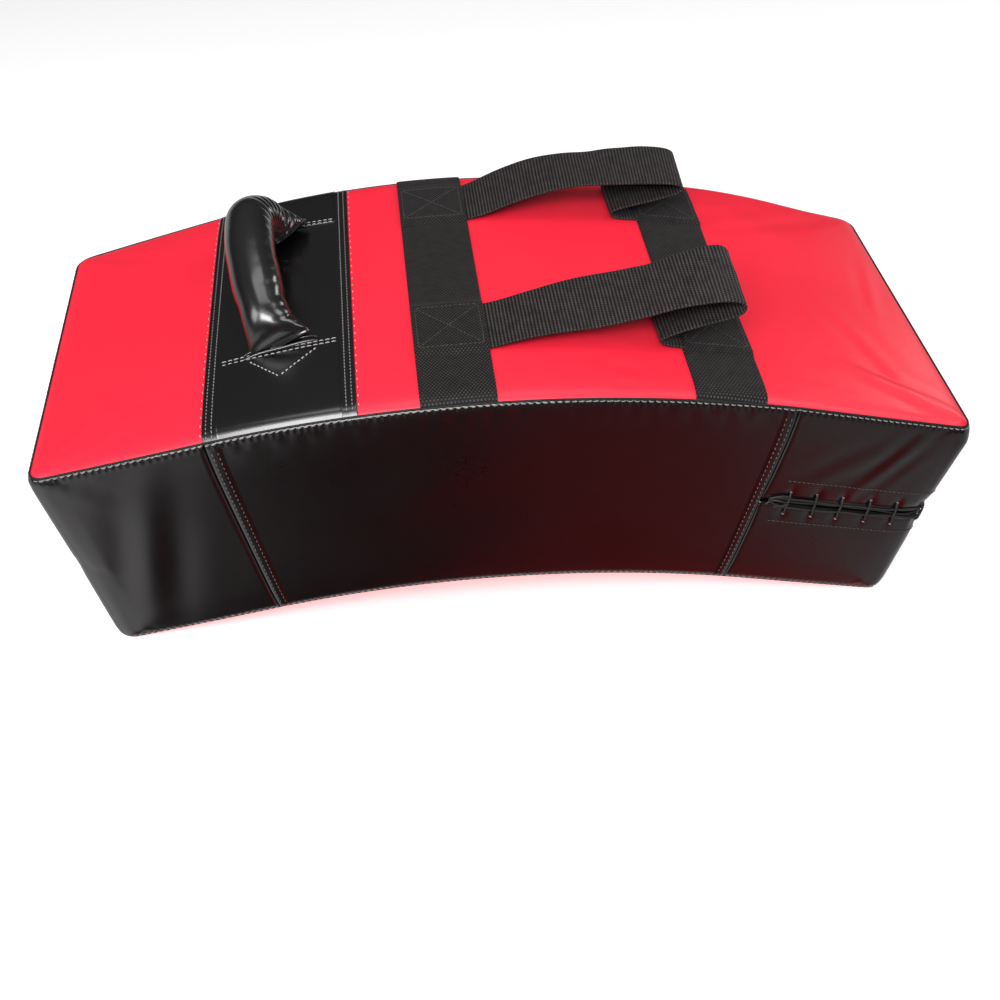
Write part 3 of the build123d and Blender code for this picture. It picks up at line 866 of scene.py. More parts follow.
TL, TR = loop_t("front", SEAM_L), loop_t("front", SEAM_R)
RL, RR = loop_t("rear", SEAM_L), loop_t("rear", SEAM_R)
pad_piece(wall("gusset_front_cover", TL, TR, INSET, TH - INSET, BLACK), "pu_black", "gusset_front", padded=0.85)
pad_piece(wall("gusset_rear_cover", RR, RL, INSET, TH - INSET, BLACK), "pu_black", "gusset_rear", padded=0.85)
pad_piece(wall("gusset_right_upper_cover", TR, RR, INSET, SLIT - 1.4, BLACK, cut1=True), "pu_black", "gusset_end_right_upper", padded=0.85)
pad_piece(wall("gusset_right_lower_cover", TR, RR, SLIT + 1.4, TH - INSET, BLACK, cut0=True), "pu_black", "gusset_end_right_lower", padded=0.85)


def left_wall():
    # from the rear seam round the left end to the front seam, across the loop's start
    c0, c1 = np.interp(RL, RIM_T, RIM_C), RIM_C[-1] + np.interp(TL, RIM_T, RIM_C)
    n = int((c1 - c0) / 1.35)
    cc = np.linspace(c0, c1, n + 1)
    t = np.interp(np.mod(cc, RIM_C[-1]), RIM_C, RIM_T)
    rim = [0, 0.1, 0.35, 0.75, 1.3, 2.0, 2.8, 3.8, 5.0, 6.6, 8.6, 11.2]
    a, z = [INSET + v for v in rim], [TH - INSET - v for v in rim][::-1]
    d = np.concatenate([a[:-1], spans([a[-1], z[0]], 4.5), z[1:]])
    G, out = side_pos(t[:, None], d[None, :])
    N = grid_normals(G)
    if (N * out).sum() < 0:
        N = -N
    low = G - N * 1.3
    low[..., 2] = np.maximum(low[..., 2], 0.06)
    return slab("gusset_left_cover", G, low, BLACK)


pad_piece(left_wall(), "pu_black", "gusset_end_left", padded=0.85)

# dark cord of turned edge down in the groove, top and bottom
tt = np.interp(np.arange(0, RIM_C[-1], 3.0), RIM_C, RIM_T)


def rim_path(depth, inset):
    s, b = loop_sb(tt)
    s2, y2, _, ns, ny = plan(s, b, 0.0)
    _, _, nx, nz = back(s2)
    out = np.stack([ns * nz, ny, -ns * nx], -1)
    p = P(s2, y2, -depth) - inset * out
    p[..., 2] = np.maximum(p[..., 2], 0.9)
    return p


for nm, dep, node in (("welt_back_bead", 0.75, "welt_back"), ("welt_strike_bead", TH - 0.8, "welt_strike")):
    v, f = tube(rim_path(dep, 0.75), 0.78, 8, closed=True)
    ob = make(nm, v, f, GROOVE)
    fix_normals(ob)
    pad_piece(ob, "welt", node)

# facing behind the laced opening
cf = np.linspace(C_R0 + 3, C_R1 - 3, 300)
tf = np.interp(cf, RIM_C, RIM_T)
df = np.linspace(SLIT - 18, SLIT + 18, 19)
Gf, outf = side_pos(tf[:, None], df[None, :], lips=False)
Gf = Gf - outf * (5.2 - 0.0 * df[None, :])[..., None]
pad_piece(slab("lacing_facing_strip", Gf, Gf - outf * 1.2, BLACK), "pu_black", "lacing_facing")

# foam block inside, three layers, following the cover
for nm, d0, d1, mat, slot_name, node in (
    ("foam_back_block", 2.6, 21.0, FOAM_A, "foam_soft", "foam_back_layer"),
    ("foam_core_block", 21.1, 115.0, FOAM_B, "foam_core", "foam_core"),
    ("foam_strike_block", 115.1, 147.2, FOAM_C, "foam_dense", "foam_strike_layer"),
):
    inset = 8.5
    sa = spans([-(SE - inset), SE - inset], 9.0)
    ba = spans([-1.0, 1.0], 0.07)
    s2, y2, *_ = plan(sa[:, None], ba[None, :], inset)
    pad_piece(slab(nm, P(s2, y2, -d0), P(s2, y2, -d1), mat), slot_name, node, padded=1.0)


# ---------------------------------------------------------------------------
# webbing straps across the back
# ---------------------------------------------------------------------------
NEAR_Y, FAR_Y = (-91.0, -41.0), (70.0, 118.0)


def surf_h(s, y):
    """Height of the finished back over its plain arc at (s, y)."""
    s, y = np.broadcast_arrays(np.asarray(s, float), np.asarray(y, float))
    p = top_pos(s, to_b(s, y))
    q = P(s, y, 0)
    _, _, nx, nz = back(s)
    return (p[..., 0] - q[..., 0]) * nx + (p[..., 2] - q[..., 2]) * nz


def strap_top(s, y):
    """Height of the top of a base strap over the arc, raised over the loops' ends."""
    h = surf_h(s, y) + 2.1
    for lo, hi in (NEAR_Y, FAR_Y):
        h = h + 1.7 * sstep((y - lo + 5) / 5) * sstep((hi + 5 - y) / 5)
    return h


def base_strap(name, s0, s1, mat, node):
    n = 26
    y = fringe(-1.0, 1.0, 0.016, near=(0.0, 0.003, 0.008, 0.015, 0.024))
    v = np.concatenate([[0, 0.012, 0.035], np.linspace(0.07, 0.93, n), [0.965, 0.988, 1]])
    ss = s0 + (s1 - s0) * v
    w = half_width(ss[None, :], y[:, None]) - 1.0
    Y = y[:, None] * w
    S = np.broadcast_to(ss[None, :], Y.shape)
    e = w - np.abs(Y)
    edge = np.minimum(v, 1 - v)
    thin = 0.55 * np.exp(-edge / 0.012)
    top_h = strap_top(S, Y) - thin[None, :]
    # the cut ends are drawn down into the edge seam
    low_h = surf_h(S, Y) + 0.15
    k = sstep(e / 3.2)
    top_h = low_h + 0.5 + (top_h - low_h - 0.5) * k
    base_low = np.minimum(low_h, top_h - 0.4)
    T, B = P(S, Y, top_h), P(S, Y, base_low)
    uv = np.stack([Y / 10 + 20, S / 10 + 20], -1)
    ob = slab(name, T, B, mat, uv)
    pad_piece(ob, "webbing", node)
    return ob


base_strap("base_strap_left_web", ST1[0], ST1[1], WEB_BASE, "base_strap_left")
base_strap("base_strap_right_web", ST2[0], ST2[1], WEB_BASE, "base_strap_right")

# ---------------------------------------------------------------------------
# arm loops: webbing between its two edge lines
# ---------------------------------------------------------------------------
near_a = [(-10.8, 5.6), (-2.4, 7.9), (7.6, 10.6), (22.6, 13.6), (35.9, 15.6), (52.5, 18.4), (68.6, 22.6), (84.7, 27.6), (100, 34.0), (115.9, 38.9), (131.6, 42.6), (142.0, 42.4), (145.8, 39.2), (144.5, 34.9), (139.2, 30.9), (127.6, 26.0), (113.6, 19.8), (104.2, 15.0), (97.2, 11.2), (95.2, 8.8), (98.0, 7.0), (104, 6.1), (112.9, 5.7)]
near_b = [(-12.2, 5.6), (-0.3, 8.4), (18.8, 14.5), (39.1, 21.3), (56, 25.9), (72.9, 29.6), (92.9, 35.6), (105.1, 42.3), (117.5, 48.6), (128.5, 53.2), (135.9, 54.0), (140.8, 51.4), (141.6, 46), (137.5, 39.5), (127, 32), (114, 24.2), (104.5, 17.8), (97.6, 12.4), (95.4, 9.2), (98.0, 7.0), (104, 6.1), (112.9, 5.7)]
far_a = [(-12.2, 5.6), (2.3, 9.6), (15.5, 15.2), (30.4, 21.4), (46.9, 27.2), (61.6, 30.6), (80.2, 32.8), (104.5, 35.2), (125.1, 37.2), (136.5, 37.2), (140.6, 34.6), (136.8, 30.9), (127.8, 26.3), (115.3, 21.2), (99.6, 15.4), (92.0, 12.0), (90.0, 9.4), (93, 7.4), (99, 6.4), (112.9, 5.7)]
far_b = [(-12.6, 5.8), (-1.1, 10.8), (12.6, 17.6), (29.8, 24.8), (45, 29.4), (62, 32.2), (75.8, 33.4), (88.8, 36.4), (107.7, 40.0), (125.1, 41.9), (137.1, 41.2), (141.6, 37.9), (139, 33.6), (130, 28.6), (116, 22.6), (101, 16.5), (92.5, 12.4), (90.3, 9.4), (93, 7.4), (99, 6.4), (112.9, 5.7)]


def loop_piece(name, ya, yb, ea, eb, tab_end, mat, nodes, ripples):
    yc = (ya + yb) / 2
    l0, l1 = ST1
    r0, r1 = ST2

    def full(e):
        hl = float(surf_h(np.array(l0 + 4.0), np.array(yc))) + 1.15
        hl2 = float(surf_h(np.array(-20.0), np.array(yc))) + 1.15
        hr = float(surf_h(np.array(r0 + 6), np.array(yc))) + 1.15
        hr2 = float(surf_h(np.array(r1 - 6), np.array(yc))) + 1.15
        pre = [(l0 + 5, hl), (-34, hl2), (-20, hl2)]
        post = [(r0 + 8, hr), (136, (hr + hr2) / 2), (r1 - 5, hr2)]
        edge_y = ya if e is ea else yb
        free_pts = [(s, max(h, float(surf_h(np.array(s), np.array(edge_y))) + 1.25)) for s, h in e]
        return pre + free_pts + post

    a, b = full(ea), full(eb)
    pa = smooth_path([P(s, 0, h)[[0, 2]] for s, h in a], 0.6, 40)
    pb = smooth_path([P(s, 0, h)[[0, 2]] for s, h in b], 0.6, 40)
    n = int(max(len(pa), len(pb)))
    n = n - n % 4
    # pair the two edges by share of their length, with the folds kept together
    ka = fold_marks(pa)
    kb = fold_marks(pb)
    u = np.linspace(0, 1, n)
    fa = np.interp(u, np.linspace(0, 1, len(ka)), ka)
    marks = np.array(ka) / ka[-1]
    fa = np.interp(u, marks, ka)
    fb = np.interp(u, marks, kb)
    xa = np.stack([np.interp(fa, np.arange(len(pa)), pa[:, q]) for q in (0, 1)], -1)
    xb = np.stack([np.interp(fb, np.arange(len(pb)), pb[:, q]) for q in (0, 1)], -1)
    for arr in (xa, xb):
        for _ in range(30):
            arr[1:-1] = 0.25 * arr[:-2] + 0.5 * arr[1:-1] + 0.25 * arr[2:]
    m = 25
    v = np.concatenate([[0, 0.008, 0.025], np.linspace(0.05, 0.95, m), [0.975, 0.992, 1]])
    # the tape's own sag across its width
    M = np.zeros((n, len(v), 3))
    M[..., 0] = xa[:, None, 0] * (1 - v) + xb[:, None, 0] * v
    M[..., 2] = xa[:, None, 1] * (1 - v) + xb[:, None, 1] * v
    M[..., 1] = ya + (yb - ya) * v[None, :]
    N = grid_normals(M)
    length = np.concatenate([[0], np.cumsum(np.linalg.norm(np.diff((xa + xb) / 2, axis=0), axis=1))])
    free = sstep((length - 50) / 25) * sstep((length[-1] - 50 - length) / 25)
    bow = np.zeros((n, len(v)))
    for l_0, v_0, ll, lv, ang, pitch, amp in ripples:
        bow = bow + ripple(length[:, None] + 0 * v[None, :], (v[None, :] * 48.0) + 0 * length[:, None], l_0, v_0, ll, lv, ang, pitch, amp)
    M = M + N * (bow * free[:, None])[..., None]
    N = grid_normals(M)
    edge = np.minimum(v, 1 - v)
    t = 0.92 - 0.45 * np.exp(-edge / 0.010)
    rib = 0.17 * (np.abs(np.sin(math.pi * length / 2.3)) - 0.6)
    T = M + N * (t[None, :] + rib[:, None] * sstep(edge / 0.02)[None, :])[..., None]
    B = M - N * (t[None, :] + rib[:, None] * sstep(edge / 0.02)[None, :])[..., None]
    uv = np.stack([np.broadcast_to(length[:, None] / 10, bow.shape), np.broadcast_to(v[None, :] * 4.8, bow.shape)], -1)
    ob = slab(name, T, B, mat, uv)
    print(name, "webbing length mm %.1f" % length[-1])
    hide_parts(*nodes)
    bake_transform(ob)
    return ob


def fold_marks(p):
    """Indices of start, the far right of the upper bend, the far left of the lower bend, and end."""
    i1 = int(np.argmax(np.where(p[:, 1] > 205, p[:, 0], -1e9)))
    i2 = i1 + int(np.argmin(p[i1:, 0]))
    return [0, i1, i2, len(p) - 1]


loop_piece("arm_loop_near_web", NEAR_Y[0], NEAR_Y[1], near_a, near_b, None, WEB_LOOP, ("arm_loop_near", "arm_loop_near_ends"),
           [(120, 20, 40, 18, 0.9, 36, 0.5), (185, 30, 22, 16, 0.6, 14, 0.5), (205, 34, 26, 14, 0.35, 13, 0.35)])
loop_piece("arm_loop_far_web", FAR_Y[0], FAR_Y[1], far_a, far_b, None, WEB_LOOP, ("arm_loop_far", "arm_loop_far_ends"),
           [(110, 20, 30, 18, 1.2, 40, 0.6), (160, 30, 22, 16, 0.4, 24, 0.5)])

# ---------------------------------------------------------------------------
# padded handle
# ---------------------------------------------------------------------------
HS = -144.0
lean = math.radians(16.7)
hx, hz, hnx, hnz = [float(q) for q in back(np.array(HS))]
h_ang = -math.atan2(-hnx, hnz) if False else math.atan2(hnx, hnz) - lean
UP = np.array([math.sin(h_ang), 0.0, math.cos(h_ang)])
SIDE = np.array([math.cos(h_ang), 0.0, -math.sin(h_ang)])
H_ORG = np.array([hx, 0.0, hz])
ctrl = [(-62.5, 5.0), (-59.0, 7.0), (-54.5, 13.5), (-47.5, 21.5), (-37.0, 28.0), (-25.0, 33.6), (-10.0, 39.6), (8, 44.3), (24, 46.2), (37, 45.2), (50, 39.8), (61.5, 31.5), (70.0, 21.0), (76.0, 12.5), (80.5, 7.0), (86.5, 5.2)]
hc = smooth_path([(y, 0, r) for y, r in ctrl], 1.1, 14)[:, [0, 2]]
hn = len(hc)
hl = np.concatenate([[0], np.cumsum(np.linalg.norm(np.diff(hc, axis=0), axis=1))])
HL = hl[-1]
tan2 = np.gradient(hc, axis=0)
tan2 /= np.linalg.norm(tan2, axis=1, keepdims=True)
nor2 = np.stack([-tan2[:, 1], tan2[:, 0]], -1)  # towards the outside of the arch
sides = 56
ang = np.linspace(0, 2 * math.pi, sides, endpoint=False)
near_e, far_e = hl, HL - hl
flat_n = 1 - sstep((near_e - 1) / 25)
flat_f = 1 - sstep((far_e - 3) / 24)
flat = np.maximum(flat_n, flat_f)
wid = 16.8 + 6.0 * flat_n ** 2.0 + 3.6 * flat_f - 0.9 * np.exp(-(((near_e - 31) / 8) ** 2)) - 1.8 * np.exp(-(((far_e - 28) / 8) ** 2))
thk_n = 2.0 + 14.8 * (1 - (1 - np.clip((near_e - 1) / 25, 0, 1)) ** 2.0) ** 0.9
thk_f = 2.2 + 14.6 * sstep((far_e - 1.0) / 27)
thk = np.minimum(thk_n, thk_f)
# the folded hem of the near mouth
thk = thk + 1.1 * np.exp(-(((near_e - 1.0) / 0.9) ** 2)) - 0.9 * np.exp(-(((near_e - 3.1) / 0.8) ** 2)) + 0.5 * np.exp(-(((near_e - 5.0) / 1.0) ** 2))
HV = np.zeros((hn, sides, 3))
ca, sa_ = np.cos(ang), np.sin(ang)
# superellipse: rounder in the middle, flatter at the sewn ends
for i in range(hn):
    k = 1.0 - 0.25 * flat[i]
    u = np.sign(ca) * np.abs(ca) ** k * wid[i]
    w = np.sign(sa_) * np.abs(sa_) ** k * thk[i]
    l, a = hl[i], ang
    inner = 0.5 - 0.5 * sa_                      # 1 on the side that faces the pad
    right = np.clip(ca * 0.75 + (0.35 - 0.65 * sa_), 0, 1.2)
    dz = 0
    for c0, wdt, pitch, amp, sh in ((36, 12, 10.4, 0.45, 1.3), (60, 15, 12.4, 0.18, 1.5), (17, 7, 6.0, 0.9, 0.5), (HL - 50, 20, 7.5, 1.8, -0.9), (HL - 25, 11, 6.2, 1.4, -0.5), (90, 18, 10.0, 0.3, 0.7)):
        ph = 2 * math.pi * (l + sh * 6.0 * np.sin(a) + 1.3 * np.sin(2 * a + l / 9.0)) / pitch
        dz = dz - amp * (0.5 + 0.5 * np.cos(ph)) ** 2.2 * np.exp(-(((l - c0) / wdt) ** 2)) * right
    dz = dz - 0.35 * (0.5 + 0.5 * np.cos(2 * math.pi * (l / 34.0) + 1.5 * np.sin(a))) * (1 - flat[i])
    # long creases fanning into the mouth
    dz = dz - 0.35 * (0.5 + 0.5 * np.cos(7 * a + 0.4 * l / 5)) ** 2 * np.exp(-(((near_e[i] - 9) / 6) ** 2))
    # sewn line of the sleeve along the inner right
    seam = np.exp(-((((a - 5.55) + math.pi) % (2 * math.pi) - math.pi) / 0.11) ** 2)
    dz = dz - 0.8 * seam * (1 - flat[i]) * (1 + 0.2 * np.cos(2 * math.pi * l / 4.5))
    rr = np.hypot(u, w)
    f = (rr + dz * np.clip(thk[i] / 12, 0, 1)) / np.maximum(rr, 1e-6)
    u, w = u * f, w * f
    c = H_ORG + np.array([0, hc[i, 0], 0]) + UP * hc[i, 1]
    nn = np.array([0, nor2[i, 0], 0]) + UP * nor2[i, 1]
    HV[i] = c + u[:, None] * SIDE + w[:, None] * nn
    # the mouth is sewn down a little askew
    HV[i, :, 1] += 0.15 * (HV[i, :, 0] - hx) * (1 - sstep(near_e[i] / 26))
# the flat ends lie down on the band
for i in range(hn):
    k = max(flat_n[i], flat_f[i])
    if k > 0:
        pts = HV[i]
        x = pts[:, 0]
        # height over the band's top
        s_near = HS + (x - hx) / hnz
        base = band_pos(s_near, to_b(s_near, pts[:, 1]))
        need = base[:, 2] + 0.25
        pts[:, 2] = np.maximum(pts[:, 2], need)
Vh, Fh = HV.reshape(-1, 3), []
for i in range(hn - 1):
    a0, b0 = i * sides, (i + 1) * sides
    for j in range(sides):
        Fh.append((a0 + j, a0 + (j + 1) % sides, b0 + (j + 1) % sides, b0 + j))
Fh.append(tuple(range(sides))[::-1])
Fh.append(tuple((hn - 1) * sides + j for j in range(sides)))
handle = make("handle_sleeve", Vh, Fh, BLACK_H)
fix_normals(handle)
sub = handle.modifiers.new("sub", "SUBSURF")
sub.levels = sub.render_levels = 1
with bpy.context.temp_override(object=handle, active_object=handle, selected_objects=[handle]):
    bpy.context.view_layer.objects.active = handle
    bpy.ops.object.modifier_apply(modifier="sub")
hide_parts("handle_cover", "handle_tab_near", "handle_tab_far")
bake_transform(handle)
for nm, mat, rad, slot_name, node in (("handle_foam_core", FOAM_C, 12.6, "foam_soft", "handle_foam"), ("handle_webbing_core", WEB_BASE, 2.6, "webbing", "handle_webbing")):
    i0, i1 = np.searchsorted(hl, [22.0, HL - 24.0])
    cpath = H_ORG + np.stack([0 * hc[i0:i1, 0], hc[i0:i1, 0], 0 * hc[i0:i1, 0]], -1) + hc[i0:i1, 1][:, None] * UP
    rr_ = np.minimum(rad, thk[i0:i1] - 2.6)
    v, f = tube(cpath, rr_, 20)
    o = make(nm, v, f, mat)
    fix_normals(o)
    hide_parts(node)
    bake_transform(o)

# the folded hem of the handle's near mouth
hem = []
for dy, lift_, r_ in ((-1.8, 1.7, 1.1), (1.0, 3.6, 0.95)):
    xs_ = np.linspace(-168.5, -121.5, 24)
    ys_ = -65.8 + dy + (xs_ + 168.5) * 0.15
    hp = band_pos(xs_, to_b(xs_, ys_))
    hp[:, 2] += lift_ - (0.9 + lift_ * 0.45) * (np.abs(np.linspace(-1, 1, 24)) ** 4) + 0.25 * np.sin(np.linspace(0, 9, 24))
    hem.append((hp, r_))
pad_piece(tubes("handle_mouth_hem", hem, BLACK_H, 10), "pu_black")

# ---------------------------------------------------------------------------
# stitching
# ---------------------------------------------------------------------------
def line_on(fn, s, y):
    """Points and normals of the surface fn(s, b) along s, y arrays."""
    s, y = np.broadcast_arrays(np.asarray(s, float), np.asarray(y, float))
    p, n = normals_at(fn, s, to_b(s, y), 0.3, 0.002)
    n = np.where((n[..., 2:3] < 0), -n, n)
    return p, n


def rows(name, lines, mat, pitch, length, radius, lift=0.1):
    items = []
    for p, n in lines:
        items += stitch_row(p, n, pitch, length, radius, lift)
    ob = tubes(name, items, mat, 6)
    return ob


yy = np.linspace(-136.0, 136.0, 200)
band_rows = [line_on(band_pos, np.full(200, BAND0 + r), yy) for r in (2.9, 6.5)] + [line_on(band_pos, np.full(200, BAND1 - r), yy) for r in (2.9, 6.5)]
pad_piece(rows("band_edge_stitches", band_rows, THREAD_MID, 3.4, 2.1, 0.36), "webbing")
red_edge = [line_on(top_pos, np.full(200, BAND0 - 0.9), yy), line_on(top_pos, np.full(200, BAND1 + 0.9), yy)]
pad_piece(rows("red_edge_stitches", red_edge, THREAD_LIGHT, 8.2, 1.5, 0.30, 0.05), "webbing")
sx = np.linspace(BAND0 + 9, BAND1 - 9, 60)
cross = [line_on(near_patch_pos, sx, near_line(sx) - 1.7), line_on(near_patch_pos, sx, near_line(sx) - 5.2), line_on(far_patch_pos, sx, np.full(60, 87.2)), line_on(far_patch_pos, sx, np.full(60, 90.7))]
pad_piece(rows("patch_cross_stitches", cross, THREAD_LIGHT, 4.0, 2.9, 0.30, 0.05), "webbing")
v1 = np.linspace(0, 1, 30)
vst = [line_on(near_patch_pos, -165.3 + (-145.5 + 165.3) * v1, -71.5 + (-93.0 + 71.5) * v1), line_on(near_patch_pos, -145.5 + (-120.2 + 145.5) * v1, -93.0 + (93.0 - 68.0) * v1)]
pad_piece(rows("patch_v_stitches", vst, THREAD_LIGHT, 3.6, 1.9, 0.38, 0.05), "webbing")


def strap_fn(s, b):
    y = b * (half_width(s, b) - INSET)
    return P(s, y, strap_top(s, y))


box = []
for lo, hi, s0, s1 in ((*NEAR_Y, *ST1), (*FAR_Y, *ST1), (*NEAR_Y, *ST2), (*FAR_Y, *ST2)):
    a0, a1, c0, c1 = s0 + 3, s1 - 3, lo + 3, hi - 3
    corners = [(a0, c0), (a1, c0), (a1, c1), (a0, c1), (a0, c0)]
    for (p0, q0), (p1, q1) in zip(corners, corners[1:]):
        box.append(line_on(strap_fn, np.linspace(p0, p1, 30), np.linspace(q0, q1, 30)))
    box.append(line_on(strap_fn, np.linspace(a0, a1, 30), np.linspace(c0, c1, 30)))
    box.append(line_on(strap_fn, np.linspace(a0, a1, 30), np.linspace(c1, c0, 30)))
pad_piece(rows("strap_box_stitches", box, THREAD_DARK, 3.0, 2.0, 0.36, 0.0), "webbing")


def wall_line(t, d):
    p, out = side_pos(t, d)
    return p, out


rad = []
for ts, sg in ((TL, 1), (TR, -1), (RL, -1), (RR, 1)):
    for off in (3.6, 7.4):
        c = np.interp(ts, RIM_T, RIM_C) + sg * off
        d = np.linspace(5, TH - 5, 80)
        rad.append(wall_line(np.full(80, np.interp(c, RIM_C, RIM_T)), d))
pad_piece(rows("gusset_seam_stitches", rad, THREAD_DIM, 3.7, 1.6, 0.30, 0.05), "webbing")
# the seam thread between the gathers all round both rims, painted pale grey: partly the thread, partly a painted
# highlight on the puckered edge
cr = np.arange(0, RIM_C[-1], 1.5)
rim_lines = [wall_line(np.interp(cr, RIM_C, RIM_T), np.full(len(cr), dd)) for dd in (INSET + 0.75, TH - INSET - 0.9)]
pad_piece(rows("rim_seam_stitch_glints", rim_lines, RIM_THREAD_GLINT, PUCKER, 3.2, 0.40, -0.10), "webbing")
lace_lines = []
cl = np.linspace(C_R0 + 12, C_R1 - 12, 500)
for dd in (SLIT - 20.0, SLIT + 15.5):
    lace_lines.append(wall_line(np.interp(cl, RIM_C, RIM_T), np.full(500, dd)))
pad_piece(rows("lacing_edge_stitches", lace_lines, THREAD_DARK, 3.4, 2.3, 0.38, 0.05), "webbing")

# ---------------------------------------------------------------------------
# lacing: a blanket-stitched cord over the opening
# ---------------------------------------------------------------------------
def cord_pt(c, d, o):
    p, out = side_pos(np.interp(c, RIM_C, RIM_T), np.asarray(d, float))
    return p + np.asarray(out) * o


lace_pts = []
LX = [rng.uniform(1.4, 3.0) for _ in BAR_C]
for i, cb in enumerate(BAR_C):
    ja, jb = rng.uniform(-0.7, 0.7), rng.uniform(-0.7, 0.7)
    lx = LX[i]
    top_d, low_d = SLIT - 9.0 + ja, SLIT + 8.5 + jb
    seq = [(cb + 0.3, top_d - 0.3, -0.9), (cb, top_d + 1.0, 1.0), (cb + 0.2 * lx, SLIT - 4, 1.5), (cb + 0.5 * lx, SLIT + 3, 1.5), (cb + lx, low_d - 1.0, 0.9), (cb + lx, low_d + 0.3, -1.2)]
    lace_pts.append(smooth_path([cord_pt(*q) for q in seq], 0.8, 3))
# two nearly straight runs of the cord lie along the lips, under the upright turns
runs = []
for base_d, amp, ph in ((SLIT - 3.6, 0.7, 0.4), (SLIT + 3.2, 0.6, 2.0), (SLIT - 0.4, 0.9, 4.1)):
    cc = np.arange(BAR_C[0] - 8, BAR_C[-1] + 8, 4.0)
    runs.append(smooth_path([cord_pt(c_, base_d + amp * math.sin(c_ / 17.0 + ph) + 0.4 * math.sin(c_ / 6.1 + ph), 0.55 + 0.25 * math.sin(c_ / 9.0 + ph)) for c_ in cc], 1.5, 2))
k0 = BAR_C[0]
knot = [(k0 + 0.5, SLIT - 6, 1.3), (k0 - 5, SLIT - 6.5, 1.3), (k0 - 11, SLIT - 4.5, 1.2), (k0 - 14, SLIT - 1.5, 1.2), (k0 - 9, SLIT + 1.5, 1.4), (k0 - 3, SLIT + 2.2, 1.8), (k0 + 0.6, SLIT + 0.2, 2.0), (k0 - 5, SLIT - 2, 1.9), (k0 - 11, SLIT - 1, 1.5), (k0 - 15, SLIT + 2, 1.0)]
tail = smooth_path([cord_pt(*q) for q in knot], 0.8, 3)
items = [(p, 0.80) for p in lace_pts] + [(p, 0.70) for p in runs] + [(tail, 0.85)]
pad_piece(tubes("lacing_cord_run", items, LACE, 10), "lace", "lacing_cord")
# small pale grey marks at each hole of the cord: painted highlights where the leather puckers round the hole
hole_glints = []
for cb, lx in zip(BAR_C, LX):
    for dd, dx in ((SLIT - 9.6, 0.0), (SLIT + 9.4, lx)):
        hole_glints.append((np.array([cord_pt(cb + dx - 0.5, dd, 0.1), cord_pt(cb + dx + 0.6, dd + 0.2, 0.15)]), 0.42))
pad_piece(tubes("lacing_hole_glints", hole_glints, THREAD_MID, 8), "lace")

# ---------------------------------------------------------------------------
# camera, floor, light
# ---------------------------------------------------------------------------
sc = bpy.context.scene
yaw, el, rl = math.radians(-7.09), math.radians(41.47), math.radians(1.30)
bk = Vector((math.sin(yaw) * math.cos(el), -math.cos(yaw) * math.cos(el), math.sin(el)))
rt = Vector((math.cos(yaw), math.sin(yaw), 0))
fw = -bk
upv = rt.cross(fw)
Rr = math.cos(rl) * rt + math.sin(rl) * upv
Uu = -math.sin(rl) * rt + math.cos(rl) * upv
cam = bpy.data.cameras.new("cam")
cam.sensor_width = 36.0
cam.lens = 1347.1 * 36.0 / 1000.0
cam.clip_start, cam.clip_end = 0.01, 60.0
co = bpy.data.objects.new("cam", cam)
sc.collection.objects.link(co)
co.matrix_world = Matrix(((Rr.x, Uu.x, bk.x, -0.09065), (Rr.y, Uu.y, bk.y, -0.78789), (Rr.z, Uu.z, bk.z, 0.69068), (0, 0, 0, 1)))
sc.camera = co

fl_mat, fl_nt, fl_b = nodes_of("floor_mat")
fl_tc = fl_nt.nodes.new("ShaderNodeTexCoord").outputs["Object"]
fl_nt.links.new(mix_color(fl_nt, noise(fl_nt, fl_tc, 3.0, 2.0), (0.89, 0.89, 0.89), (0.91, 0.91, 0.91)), fl_b.inputs["Base Color"])
fl_b.inputs["Emission Color"].default_value = (1, 1, 1, 1)
fl_b.inputs["Emission Strength"].default_value = 0.32
fl_b.inputs["Roughness"].default_value = 0.7
fl_b.inputs["Specular IOR Level"].default_value = 0.15
floor = make("floor", np.array([(-9000, -9000, 0), (9000, -9000, 0), (9000, 9000, 0), (-9000, 9000, 0)], float), [(0, 1, 2, 3)], fl_mat, smooth=False)

world = bpy.data.worlds.new("studio")
sc.world = world
world.use_nodes = True
wn = world.node_tree
bg = wn.nodes["Background"]


def ramp(x, a, b, lo=0.0, hi=1.0):
    n = wn.nodes.new("ShaderNodeMapRange")
    n.interpolation_type = "SMOOTHSTEP"
    n.inputs[1].default_value, n.inputs[2].default_value = a, b
    n.inputs[3].default_value, n.inputs[4].default_value = lo, hi
    wn.links.new(x, n.inputs[0])
    return n.outputs[0]


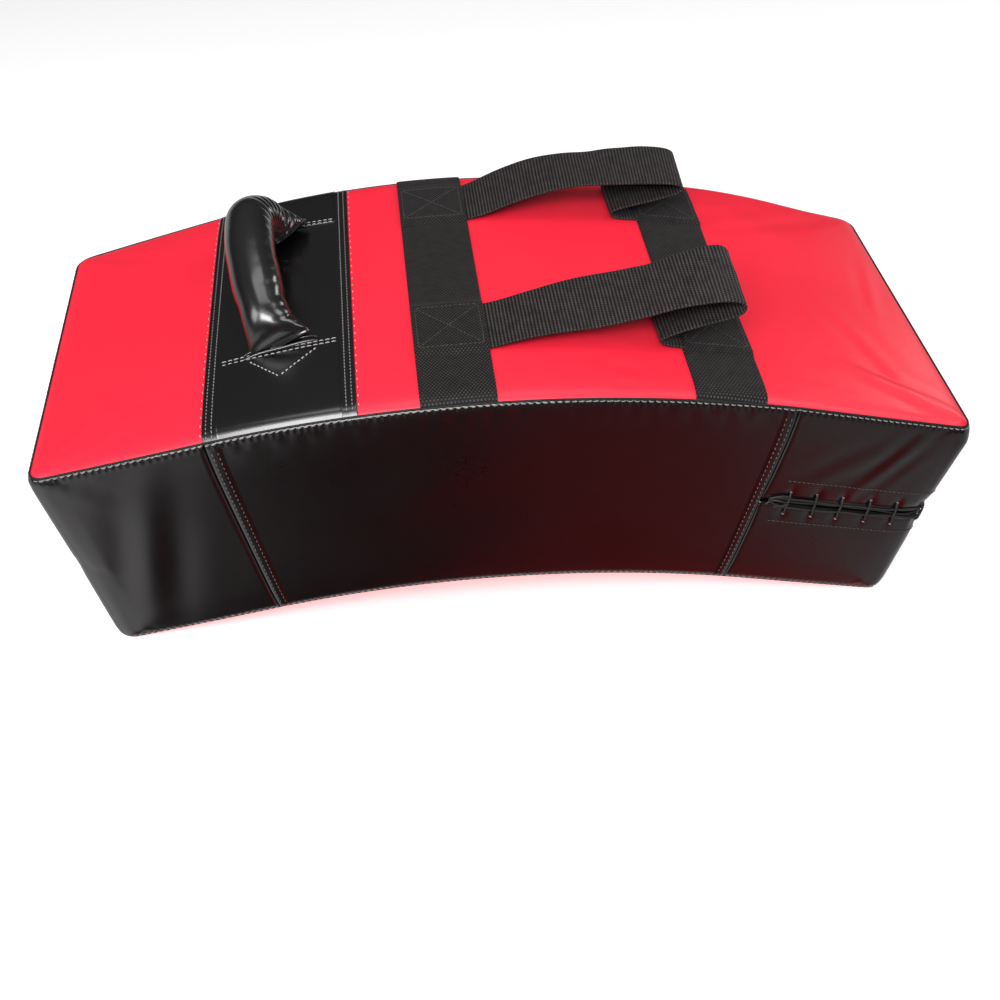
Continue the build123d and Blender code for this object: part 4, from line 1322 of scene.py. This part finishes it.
# soft room light: pale above, and below the horizon a pale left, dark middle and warm dark right
wd = wn.nodes.new("ShaderNodeSeparateXYZ")
wn.links.new(wn.nodes.new("ShaderNodeTexCoord").outputs["Generated"], wd.inputs[0])
wx, wy, wz = wd.outputs
up_c = mix_color(wn, ramp(wz, 0.05, 0.8), (0.02, 0.02, 0.021), (0.14, 0.14, 0.14))
low_c = mix_color(wn, ramp(wx, -0.38, -0.12), (0.85, 0.825, 0.825), (0.004, 0.002, 0.003))
low_c = mix_color(wn, ramp(wx, 0.00, 0.15), low_c, (0.42, 0.002, 0.007))
low_c = mix_color(wn, ramp(wx, 0.31, 0.41), low_c, (0.33, 0.30, 0.305))
low_c = mix_color(wn, ramp(wy, -0.25, 0.1), low_c, (0.45, 0.45, 0.45))
wn.links.new(mix_color(wn, ramp(wz, -0.10, 0.02), low_c, up_c), bg.inputs["Color"])
bg.inputs["Strength"].default_value = 1.0
floor.visible_glossy = False


def area(name, loc, target, size, power, colour=(1, 1, 1), size_y=None):
    l = bpy.data.lights.new(name, "AREA")
    l.shape = "RECTANGLE"
    l.size, l.size_y = size, size_y or size
    l.energy = power
    l.color = colour
    o = bpy.data.objects.new(name, l)
    sc.collection.objects.link(o)
    o.location = loc
    o.rotation_mode = "QUATERNION"
    o.rotation_quaternion = (Vector(target) - Vector(loc)).to_track_quat("-Z", "Y")
    return o


area("key_top", (-0.1, 0.25, 2.1), (0, 0, 0.15), 1.5, 8.5, size_y=0.8)
area("key_front", (-0.15, -1.05, 1.85), (0, -0.05, 0.15), 1.5, 4.0, size_y=0.50)
area("front_low", (-0.42, -1.55, 1.52), (-0.08, -0.12, 0.17), 1.4, 44.0, size_y=0.70)
area("soft_left", (-1.50, -0.80, 1.15), (0, 0, 0.15), 0.75, 9.5, size_y=0.8)
area("fill_right", (1.35, -0.15, 1.75), (0, 0, 0.15), 0.9, 9.5, size_y=0.9)
area("soft_right_back", (1.55, 1.05, 0.72), (0.2, -0.1, 0.15), 0.4, 3.0, size_y=0.4)
sc.view_settings.view_transform = "Standard"
sc.view_settings.look = "None"
